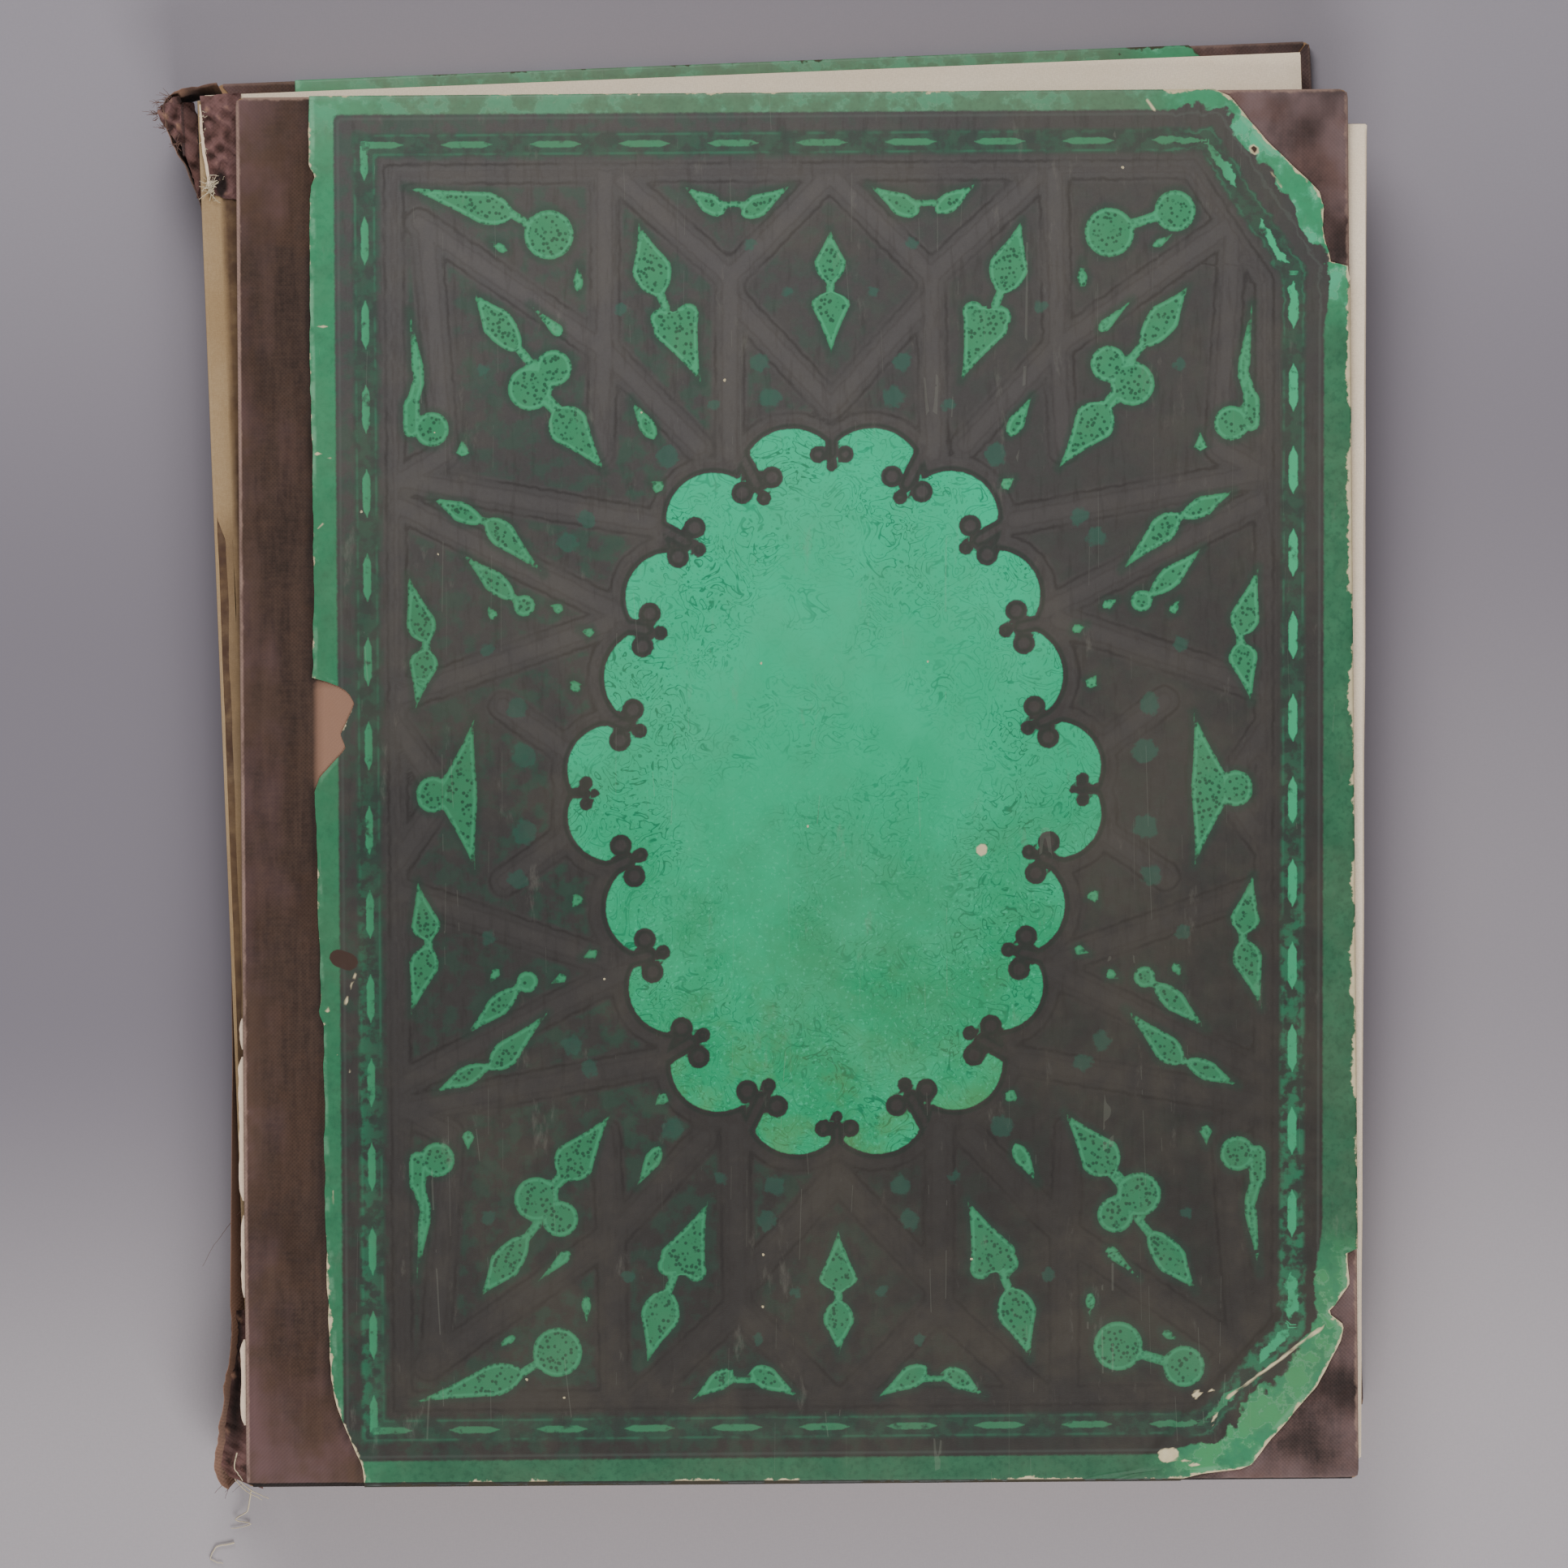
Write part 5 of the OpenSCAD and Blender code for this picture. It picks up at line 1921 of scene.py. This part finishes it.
        inner, end = left + BOOK.lining_t, left + 14.0 - 0.3 + 0.3 * ripple(y, 11.0, 84)
        lower = low + 0.25 * np.abs(ripple(y, 7.0, 83))
        foot, level_z = BOOK.shoulder_z, BOOK.shoulder_z + 0.02
        wall = rings(
            (left, lower), (left, (lower + top) / 2), (left, top - edge), (left + 0.07, top - 0.07), (left + edge, top),
            (crack_left, top), (crack_left, foot), (inner, foot), (inner, lower))
        lap = rings(
            (crack_right, foot - sag * 0.5), (crack_right, top - sag), (crack_right + 0.9, top),
            (crack_right + 2.0, top), (left + 5.0, top), (left + 6.0, top), (left + 7.0, top), (end, top),
            (end, foot), (left + 7.0, foot), (crack_right + 0.9, foot))
        # the groove is the crack's floor, painted dark brown at full stain as the shade down in the crack
        groove = rings((crack_left - 0.2, level_z + 0.16), (crack_right + 0.2, level_z + 0.1),
                       (crack_right + 0.2, level_z), (crack_left - 0.2, level_z))
        # the stain ramp darkens the lap from 5.3 mm past the lining's edge, where the front cover's edge lies over it:
        # partly a brown stain, partly painted shade; below darkens the lap along the stretch below the crack's top
        stain = np.clip((lap[..., 0] - left - 5.3 - 0.3 * ripple(lap[..., 1], 12.0, 86)) / 1.1, 0, 1)
        below = np.clip((self.crack_top + 4 - lap[..., 1]) / 10, 0, 1)
        shape = Shape().add_rings(wall, tone=0.0, stain=0.0)
        shape.add_rings(lap, tone=0.3, stain=np.maximum(stain, 0.45 * below)).add_rings(groove, tone=0.0, stain=1.0)
        return shape.lay("shoulder_lining_cracked", IN_UPPER_LEAVES, "brown_paper", "shoulder_lining")


@dataclass(frozen=True)
class CrumpledSheet:
    """A thin crumpled sheet that spans rails laid side by side, in millimetres.

    It has rings along the rails and columns across them. Its height stays between two limits.
    """

    rows: int
    columns: int
    thickness: float
    crumple: float
    seed: int
    rails: tuple[tuple[tuple[float, float, float], ...], ...]
    limits: Callable[[np.ndarray, np.ndarray], tuple[np.ndarray, np.ndarray]] | None = None

    def rings(self) -> tuple[np.ndarray, np.ndarray]:
        """Rings that cross the rails on the upper side and come back on the lower side.

        Creases come from facets on the height, and from noise half as high on the plan.

        Returns:
            (rows, 2 * columns, 3) rings, and how far across the rails each point lies, 0 to 1.
        """
        table = np.array(self.rails, dtype=float)
        along = np.linspace(0, table.shape[1] - 1, self.rows)
        low = np.clip(np.floor(along).astype(int), 0, table.shape[1] - 2)
        part = (along - low)[None, :, None]
        rows_of = table[:, low] * (1 - part) + table[:, low + 1] * part
        across = np.linspace(0, table.shape[0] - 1, self.columns)
        first = np.clip(np.floor(across).astype(int), 0, table.shape[0] - 2)
        share = (across - first)[:, None, None]
        top = (rows_of[first] * (1 - share) + rows_of[first + 1] * share).transpose(1, 0, 2)
        inward = np.sin(np.linspace(0, math.pi, self.columns)) ** 0.5
        x, y = top[..., 0] * 1.0, top[..., 1] * 1.0
        top[..., 2] += self.crumple * facets(x, y, FACET, self.seed) * (0.4 + 0.6 * inward)
        for axis in (0, 1):
            top[..., axis] += 0.5 * self.crumple * patches(x, y, 1.8, self.seed + 1 + axis)
        if self.limits is not None:
            top[..., 2] = np.clip(top[..., 2], *self.limits(top[..., 0], top[..., 1]))
        under = top[:, ::-1] - np.array([0.0, 0.0, self.thickness])
        side = np.broadcast_to(np.concatenate([across, across[::-1]]) / (table.shape[0] - 1),
                               (self.rows, 2 * self.columns))
        return np.concatenate([top, under], axis=1), side

    def fields(self, rings: np.ndarray, shade: np.ndarray) -> dict[str, np.ndarray]:
        """How crumpled cloth is rubbed on its ridges, with painted shade in its folds.

        Args:
            rings: Points of the sheet.
            shade: Painted shade of the place itself.

        Returns:
            Values by attribute.
        """
        x, y = rings[..., 0], rings[..., 1]
        fold = 0.6 * facets(x, y, FACET, self.seed) + 0.7 * patches(x, y, 4.5, self.seed + 5, 4)
        # dark: painted shade in the folds, and the painted shade given for the place
        return {"rub": np.clip(0.55 + 0.6 * fold, 0, 1), "dark": np.clip(np.maximum(-0.8 * fold - 0.18, shade), 0, 1),
                "bare": np.clip(1.4 * fold - 0.8, 0, 1)}


def under_swing(x: np.ndarray, y: np.ndarray) -> tuple[np.ndarray, np.ndarray]:
    """Heights for cloth of the block: below the upper leaves' swing, which ends left of the spine."""
    high = np.where(y < 184.6, np.interp(x, [-161.2, -160.4], [26.4, 18.25]), 26.4)
    return np.full_like(x, 4.5), high


def on_shoulder(x: np.ndarray, y: np.ndarray) -> tuple[np.ndarray, np.ndarray]:
    """Heights for cloth that lies on the shoulder: above its lining, below the front cover."""
    return np.full_like(x, 24.87), np.full_like(x, 27.3)


FLAP = CrumpledSheet(rows=150, columns=40, thickness=0.3, crumple=1.1, seed=91, rails=(
    ((-157.6, 157.4, 18.9), (-158.6, 164.4, 21.0), (-161.4, 171.8, 24.0), (-165.0, 176.6, 25.2), (-167.2, 180.3, 25.4),
     (-165.8, 182.7, 25.4), (-163.2, 184.2, 25.2), (-160.8, 185.0, 24.8)),
    ((-157.2, 157.4, 18.5), (-158.1, 164.4, 18.4), (-160.4, 171.0, 19.4), (-161.2, 175.0, 20.6), (-161.8, 178.6, 21.6),
     (-161.8, 180.8, 21.8), (-161.4, 182.4, 21.4), (-160.8, 183.8, 20.6)),
    ((-156.6, 157.4, 18.1), (-156.6, 164.4, 18.0), (-156.6, 171.0, 18.0), (-156.6, 175.0, 18.0), (-156.7, 178.6, 18.0),
     (-156.8, 180.8, 18.0), (-157.0, 182.4, 18.0), (-157.6, 183.6, 18.0)),
), limits=under_swing)
LAP = CrumpledSheet(rows=130, columns=44, thickness=0.24, crumple=0.8, seed=94, rails=(
    ((-153.6, 157.8, 24.9), (-154.0, 163.3, 25.3), (-154.8, 169.9, 25.8), (-155.1, 174.8, 26.0), (-155.2, 179.0, 26.0),
     (-155.1, 182.0, 25.8), (-155.0, 184.4, 25.4)),
    ((-150.6, 156.8, 24.9), (-150.4, 163.3, 25.1), (-150.4, 169.9, 25.5), (-150.6, 174.8, 25.7), (-150.6, 179.0, 25.8),
     (-150.4, 182.0, 25.6), (-150.2, 184.9, 25.2)),
    ((-144.4, 155.4, 24.9), (-144.4, 163.3, 25.0), (-144.4, 169.9, 25.1), (-144.4, 174.8, 25.2), (-144.2, 179.0, 25.2),
     (-144.0, 182.0, 25.2), (-143.8, 185.2, 25.1)),
), limits=on_shoulder)
PALE_EDGE = CrumpledSheet(rows=50, columns=7, thickness=0.2, crumple=0.3, seed=97, rails=(
    ((-153.7, 158.6, 25.7), (-154.1, 163.3, 26.2), (-154.9, 169.9, 26.7), (-155.3, 174.8, 26.9), (-155.3, 179.0, 26.9),
     (-155.1, 182.2, 26.7)),
    ((-152.9, 158.6, 25.7), (-153.3, 163.3, 26.1), (-154.1, 169.9, 26.5), (-154.5, 174.8, 26.7), (-154.7, 179.0, 26.8),
     (-154.8, 182.2, 26.6)),
))
TAIL_FOLD = CrumpledSheet(rows=110, columns=34, thickness=0.3, crumple=0.6, seed=98, rails=(
    ((-160.2, -150.0, 16.6), (-161.6, -168.0, 17.4), (-162.6, -176.0, 17.8), (-164.2, -184.0, 18.0),
     (-165.4, -191.0, 17.8), (-163.0, -195.4, 17.0)),
    ((-158.2, -150.0, 15.6), (-159.0, -168.0, 15.8), (-159.8, -176.0, 15.2), (-160.4, -184.0, 14.8),
     (-160.9, -191.0, 14.8), (-159.4, -197.4, 15.0)),
    ((-156.7, -150.0, 15.6), (-156.8, -168.0, 15.8), (-156.8, -176.0, 15.4), (-156.8, -182.6, 15.0),
     (-154.8, -191.0, 15.0), (-153.6, -199.6, 15.0)),
), limits=under_swing)
HINGE_STRIPS = ((-62.0, -70.5, 0.9), (-72.5, -112.0, 1.2), (-116.0, -138.5, 0.9), (-150.0, -173.5, 1.25))


@dataclass
class TornCap:
    """Crumpled cloth at the spine's head and tail, the torn lining beside it, and strips of torn hinge."""

    def _cloth(self, sheet: CrumpledSheet, name: str, place: Placement,
               shade: Callable[[np.ndarray, np.ndarray], np.ndarray]) -> bpy.types.Object:
        """Lays a crumpled sheet of cloth, with its shade given from its points and the way across.

        Args:
            sheet: The sheet.
            name: Name of the piece.
            place: Where it belongs.
            shade: Its shade, as a function of its points and the way across.

        Returns:
            The piece.
        """
        rings, side = sheet.rings()
        shape = Shape().add_rings(rings, **sheet.fields(rings, shade(rings, side)))
        return shape.lay(name, place, "bookcloth", smooth=25.0)

    def flap(self) -> bpy.types.Object:
        """Builds the flap that is folded in from the flared cloth's upper edge, with painted shade that deepens towards
        its low inner side.
        """
        return self._cloth(FLAP, "head_flap_crumpled", IN_BLOCK, lambda rings, side: 1.2 * side - 0.75)

    def lap(self) -> bpy.types.Object:
        """Builds the cloth that is torn over the shoulder, with a hollow at its lower end painted dark as shade, and
        painted shade towards its side under the front cover's edge.
        """
        return self._cloth(LAP, "head_lap_torn", IN_UPPER_LEAVES, lambda rings, side: np.maximum(
            2.2 - 2.0 * np.hypot((rings[..., 0] + 150.2) / 2.0, (rings[..., 1] - 160.2) / 4.6), 0.9 * side - 0.6))

    def tail_fold(self) -> bpy.types.Object:
        """Builds cloth folded in between the flared tail and the board's edge, painted dark as the shade in that gap.
        """
        return self._cloth(TAIL_FOLD, "tail_fold_crumpled", IN_BLOCK, lambda rings, side: (
            np.clip((rings[..., 1] + 194) / 12, 0.15, 1) * 0.95 * np.sin(math.pi * np.clip(side + 0.05, 0.1, 1))))

    def pale_edge(self) -> bpy.types.Object:
        """Builds the pale strip of lining along the torn lap's edge."""
        return Shape().add_rings(PALE_EDGE.rings()[0], tone=0.2).lay("head_lining_torn", IN_UPPER_LEAVES, "gauze")

    def hinge_strips(self) -> bpy.types.Object:
        """Builds the pale torn strips along the front board's spine edge: narrow bands with a torn side.

        Returns:
            The piece.
        """
        shape = Shape()
        for k, (start, stop, reach) in enumerate(HINGE_STRIPS):
            y = np.linspace(start, stop, 60)
            ends = np.clip(np.minimum(start - y, y - stop) / 3.0, 0.08, 1) ** 0.5
            out = -BOOK.half_w - ends * (reach + 0.3 * ripple(y, 4.0, 101 + k)) - 0.05
            inner = np.full_like(y, -BOOK.half_w + 0.25)
            z = 1.7 + 0.25 * ripple(y, 9.0, 105 + k)
            columns = [(inner, z + 0.2), ((inner + out) / 2, z + 0.3), (out, z + 0.1), (out, z - 0.1), (inner, z - 0.1)]
            shape.add_rings(np.stack([np.stack([cx, y, cz], axis=-1) for cx, cz in columns], axis=1), tone=0.1)
        return shape.lay("front_hinge_torn", IN_FRONT_COVER, "gauze")

    def build(self) -> dict[str, list[bpy.types.Object]]:
        """Builds the five pieces, and lists them by the name of their finish."""
        return {"crumpled": [self.flap(), self.lap(), self.tail_fold()],
                "torn_lining": [self.pale_edge(), self.hinge_strips()]}


@dataclass
class Fray:
    """Loose threads that stand out of torn edges, each a thin bent tube."""

    name: str
    place: Placement
    seed: int
    threads: list[np.ndarray] = field(default_factory=list)
    widths: list[float] = field(default_factory=list)

    def strand(self, points: Sequence[Sequence[float]], width: float = 0.3, wobble: float = 0.25) -> None:
        """Adds a strand through points, smoothed, with a little wobble.

        Args:
            points: Places that the strand passes.
            width: Its thickness.
            wobble: Size of its small bends.
        """
        rng = np.random.default_rng(self.seed + len(self.threads))
        given = np.array(points, dtype=float)
        t = np.linspace(0, len(given) - 1, max(10, 6 * len(given)))
        path = np.column_stack([np.interp(t, np.arange(len(given)), given[:, i]) for i in range(3)])
        for _ in range(3):
            path[1:-1] = (path[:-2] + 2 * path[1:-1] + path[2:]) / 4
        noise = np.cumsum(rng.normal(0, wobble * 0.4, path.shape), axis=0) * np.array([1, 1, 0.25])
        noise -= np.linspace(0, 1, len(path))[:, None] * noise[-1] * 0.6
        self.threads.append(path + noise * np.sin(np.linspace(0, math.pi, len(path)) * 0.6)[:, None])
        self.widths.append(width)

    def scatter(self, anchors: np.ndarray, leans: np.ndarray, length: float, width: float = 0.22) -> None:
        """Adds short strands from anchors, each leaning its own way.

        Args:
            anchors: (n, 3) starting places.
            leans: (n, 3) directions.
            length: Mean length.
            width: Thickness of a strand.
        """
        rng = np.random.default_rng(self.seed + 500 + len(self.threads))
        for anchor, lean in zip(anchors, leans):
            reach = length * rng.uniform(0.4, 1.3)
            side = rng.normal(0, 0.35, 3) * np.array([1, 1, 0.4])
            mid = anchor + (lean + side * 0.4) * reach * 0.5
            self.strand([anchor, mid, anchor + (lean + side) * reach], width * rng.uniform(0.6, 1.2), 0.15)

    def build(self) -> bpy.types.Object:
        """Builds all strands as one piece: tapered tubes.

        Returns:
            The piece.
        """
        shape = Shape()
        for path, width in zip(self.threads, self.widths):
            taper = np.linspace(1.0, 0.45, len(path)) * width / 2
            shape.add_rings(tube(path, taper, 5))
        return shape.lay(self.name, self.place, "thread", smooth=80.0)


PALE_STRANDS = (
    ((-161.9, -191.5, 14), (-160.4, -196.4, 15), (-157.2, -199.6, 14), (-152.2, -202.8, 12)),
    ((-162.9, -192.0, 14), (-161.4, -197.5, 14.5), (-159.5, -200.8, 12), (-154.4, -203.0, 10)),
    ((-157.4, -200.4, 10), (-159.0, -206.5, 3), (-163.5, -209.0, 1.4), (-158.0, -210.6, 1.0), (-163.8, -212.0, 0.8)),
    ((-163.5, -216.0, 0.7), (-168.5, -216.8, 0.6), (-170.8, -220.0, 0.6), (-166.8, -221.6, 0.6)),
    ((-160.3, -189.2, 17), (-161.4, -193.0, 17), (-159.2, -197.0, 16)),
)
DARK_STRAND = ((-156.4, -122.2, 14), (-160.5, -127.0, 16.5), (-163.5, -131.0, 16), (-167.8, -137.4, 15))


def frayed_edges() -> dict[str, list[bpy.types.Object]]:
    """Builds the frayed threads of the spine and the worn edges.

    Returns:
        The pieces by the name of their finish.
    """
    rng = np.random.default_rng(7)

    def leans(count: int, *axes: tuple[float, float]) -> np.ndarray:
        """Random directions, from the mean and spread of each axis."""
        return np.column_stack([rng.normal(mean, spread, count) if spread else np.zeros(count)
                                for mean, spread in axes])

    dark = Fray("head_threads_dark", IN_BLOCK, 201)
    spots = np.array(FLAP.rails[0])[rng.integers(2, 7, 70)] + rng.normal(0, 0.7, (70, 3)) * np.array([0.6, 1, 0.2])
    dark.scatter(spots, leans(70, (-0.8, 0.5), (0.1, 0.6), (0, 0.1)), 2.0)
    dark.strand(DARK_STRAND, 0.18, 0.2)
    spots = np.column_stack([rng.uniform(*span, 26) for span in ((-166, -157), (-199, -190), (8, 18))])
    dark.scatter(spots, leans(26, (-0.2, 0.5), (-0.7, 0.5), (0, 0)), 2.4)
    pale = Fray("tail_threads_pale", IN_BLOCK, 301)
    for points in PALE_STRANDS:
        pale.strand(points, 0.5, 0.3)
    tuft = Fray("head_tuft", IN_UPPER_LEAVES, 401)
    spots = np.array([-153.1, 159.6, 25.6]) + rng.normal(0, 0.55, (80, 3)) * np.array([1, 1.3, 0.35])
    tuft.scatter(spots, rng.normal(0, 0.8, (80, 3)) * np.array([1, 1, 0.25]), 1.5, 0.34)
    spots = np.array(PALE_EDGE.rails[1])[rng.integers(0, 5, 24)] + rng.normal(0, 0.3, (24, 3)) * np.array([1, 4, 0.2])
    tuft.scatter(spots, leans(24, (0.3, 0.5), (0, 0.6), (0, 0.1)), 1.3)
    return {"dark": [dark.build()], "pale": [pale.build(), tuft.build()]}


@dataclass
class Studio:
    """Floor, lights and camera."""

    camera_at: tuple[float, float, float] = (-0.00205, -0.01056, 1.732)
    camera_turn: float = -2.25
    lens: float = 142.55
    film: float = 36.0
    floor_reach: float = 3.0
    air: tuple[float, float, float, float] = (0.86, 0.86, 0.9, 1.0)
    air_strength: float = 0.36
    lamp_side: float = 0.6

    def build(self, floor_paper: bpy.types.Material) -> None:
        """Builds the floor, two soft lights beyond the head and the foot of the book, and the camera.

        Args:
            floor_paper: Material of the floor.
        """
        mesh = bpy.data.meshes.new("floor")
        corners = [(x * self.floor_reach, y * self.floor_reach, 0) for x, y in ((-1, -1), (1, -1), (1, 1), (-1, 1))]
        mesh.from_pydata(corners, [], [(0, 1, 2, 3)])
        floor = bpy.data.objects.new("floor", mesh)
        bpy.context.scene.collection.objects.link(floor)
        dress(floor, floor_paper)
        self._area("head_light", (-0.2, 0.85, 0.75), 10.0, (0.0, 0.0, 0.0))
        self._area("foot_light", (0.1, -0.9, 0.7), 12.5, (0.0, -0.05, 0.0))
        world = bpy.data.worlds.new("studio_air")
        world.use_nodes = True
        background = world.node_tree.nodes["Background"].inputs
        background["Color"].default_value = self.air
        background["Strength"].default_value = self.air_strength
        bpy.context.scene.world = world
        lens = bpy.data.cameras.new("camera")
        lens.lens = self.lens
        lens.sensor_width = self.film
        camera = bpy.data.objects.new("camera", lens)
        camera.location = self.camera_at
        camera.rotation_euler = (0.0, 0.0, math.radians(self.camera_turn))
        bpy.context.scene.collection.objects.link(camera)
        bpy.context.scene.camera = camera

    def _area(self, name: str, at: tuple[float, float, float], power: float, aim: tuple[float, float, float]) -> None:
        """Adds a square area light that faces a place.

        Args:
            name: Name of the lamp.
            at: Its place.
            power: Its power.
            aim: The place that it faces.
        """
        lamp = bpy.data.lights.new(name, "AREA")
        lamp.size = self.lamp_side
        lamp.energy = power
        holder = bpy.data.objects.new(name, lamp)
        holder.location = at
        direction = Vector(aim) - Vector(at)
        holder.rotation_euler = direction.to_track_quat("-Z", "Y").to_euler()
        bpy.context.scene.collection.objects.link(holder)


TAN = {"clean": "#b49c7a", "aged": "#93764f", "browned": "#6d4a2c", "spot": "#54381f", "browning": 0.0}
FINISHES = {
    "print": PrintedPaper("printed_paper"),
    "backs": PrintedPaper("printed_paper_turned_in", rim=("#2b2d22", "#4c4a38")),
    "cloth": WovenFinish("worn_bookcloth"),
    "corners": WovenFinish("worn_corner_cloth", deep="#231a18", light="#3a2c29", rubbed="#69504a", mauve="#766160"),
    "crumpled": WovenFinish("crumpled_bookcloth", deep="#2c1a15", light="#4a2f28", rubbed="#72504a", mauve="#7b5a58"),
    "leaves": PaperFinish("old_leaves"),
    "spine_paper": PaperFinish("tan_lining", stain="#432d21", **TAN),
    "torn_lining": PaperFinish("torn_lining", clean="#f2dfc9", aged="#d4b79c", browning=0.0),
    "dark": ThreadFinish("frayed_cloth_threads", pale="#7d5b50", dirty="#4a3229"),
    "pale": ThreadFinish("frayed_linen_threads", pale="#e4d8bf", dirty="#b7a684"),
    "pastedown": PaperFinish("lining_paper", own=False, half=(152.0, 190.0)),
    "strawboard": PaperFinish("strawboard", own=False, clean="#b08e68", aged="#8e6b4c", browned="#7a5440",
                              spot="#5c4028", half=(152.5, 190.5), fibre_depth=0.12),
    "lining": PaperFinish("brown_paper_lining", own=False, **TAN),
    "tape": WovenFinish("linen_tape", own=False, deep="#a8946b", light="#c2b189", rubbed="#d6c9a6", pitch=0.8,
                        edge_wear=False),
    "gauze": WovenFinish("mull_gauze", own=False, deep="#b7a67e", light="#cfc19b", rubbed="#ddd2b3", pitch=1.4,
                         depth=0.2, edge_wear=False),
    "thread": ThreadFinish("sewing_linen", own=False),
    "floor": FloorPaper("grey_floor_paper", own=False),
}
CARRIED = {
    "strawboard": ("front_board", "back_board"),
    "pastedown": ("front_pastedown", "back_pastedown"),
    "lining": ("spine_lining",),
    "gauze": ("mull",),
    "tape": ("sewing_tapes", "upper_tape_ends", "tape_slips"),
    "thread": ("sewing_thread", "upper_thread"),
}


def main() -> None:
    """Builds every piece in order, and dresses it."""
    logging.basicConfig(level=logging.INFO, format="%(name)s: %(message)s")
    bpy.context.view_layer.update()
    effects = SharedEffects()
    made = {key: finish.make(effects) for key, finish in FINISHES.items()}
    front = Cover("front", IN_FRONT_COVER, BOOK.front_leg, FRONT_LEFT, FRONT_RIGHT,
                  FRONT_CHIPS, grid=(1.2, 1.2), spine_foot=0.6, holes=FRONT_HOLES)
    # the back cover's low share of rubbed colours is painted shade: its cloth lies in shadow
    back = Cover("back", IN_BACK_COVER, BOOK.back_leg, BACK_LEFT, BACK_RIGHT,
                 BACK_CHIPS, grid=(1.7, 1.7), spine_foot=0.4, lit_wear=0.35)
    for cover, paper in ((front, "print"), (back, "backs")):
        for name, piece in cover.build().items():
            dress(piece, made[{"side_paper": paper, "cloth_strip": "cloth"}.get(name, "corners")])
    for piece in Leaves().build():
        dress(piece, made["leaves"])
    spine = Spine()
    dress(spine.cloth(), made["cloth"])
    dress(spine.shoulder(), made["spine_paper"])
    for key, pieces in (*TornCap().build().items(), *frayed_edges().items()):
        for piece in pieces:
            dress(piece, made[key])
    for key, names in CARRIED.items():
        for name in names:
            dress(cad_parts[name], made[key])
            LOG.info("%s: dressed as %s", name, made[key].name)
    Studio().build(made["floor"])


if __name__ == "__main__":
    main()
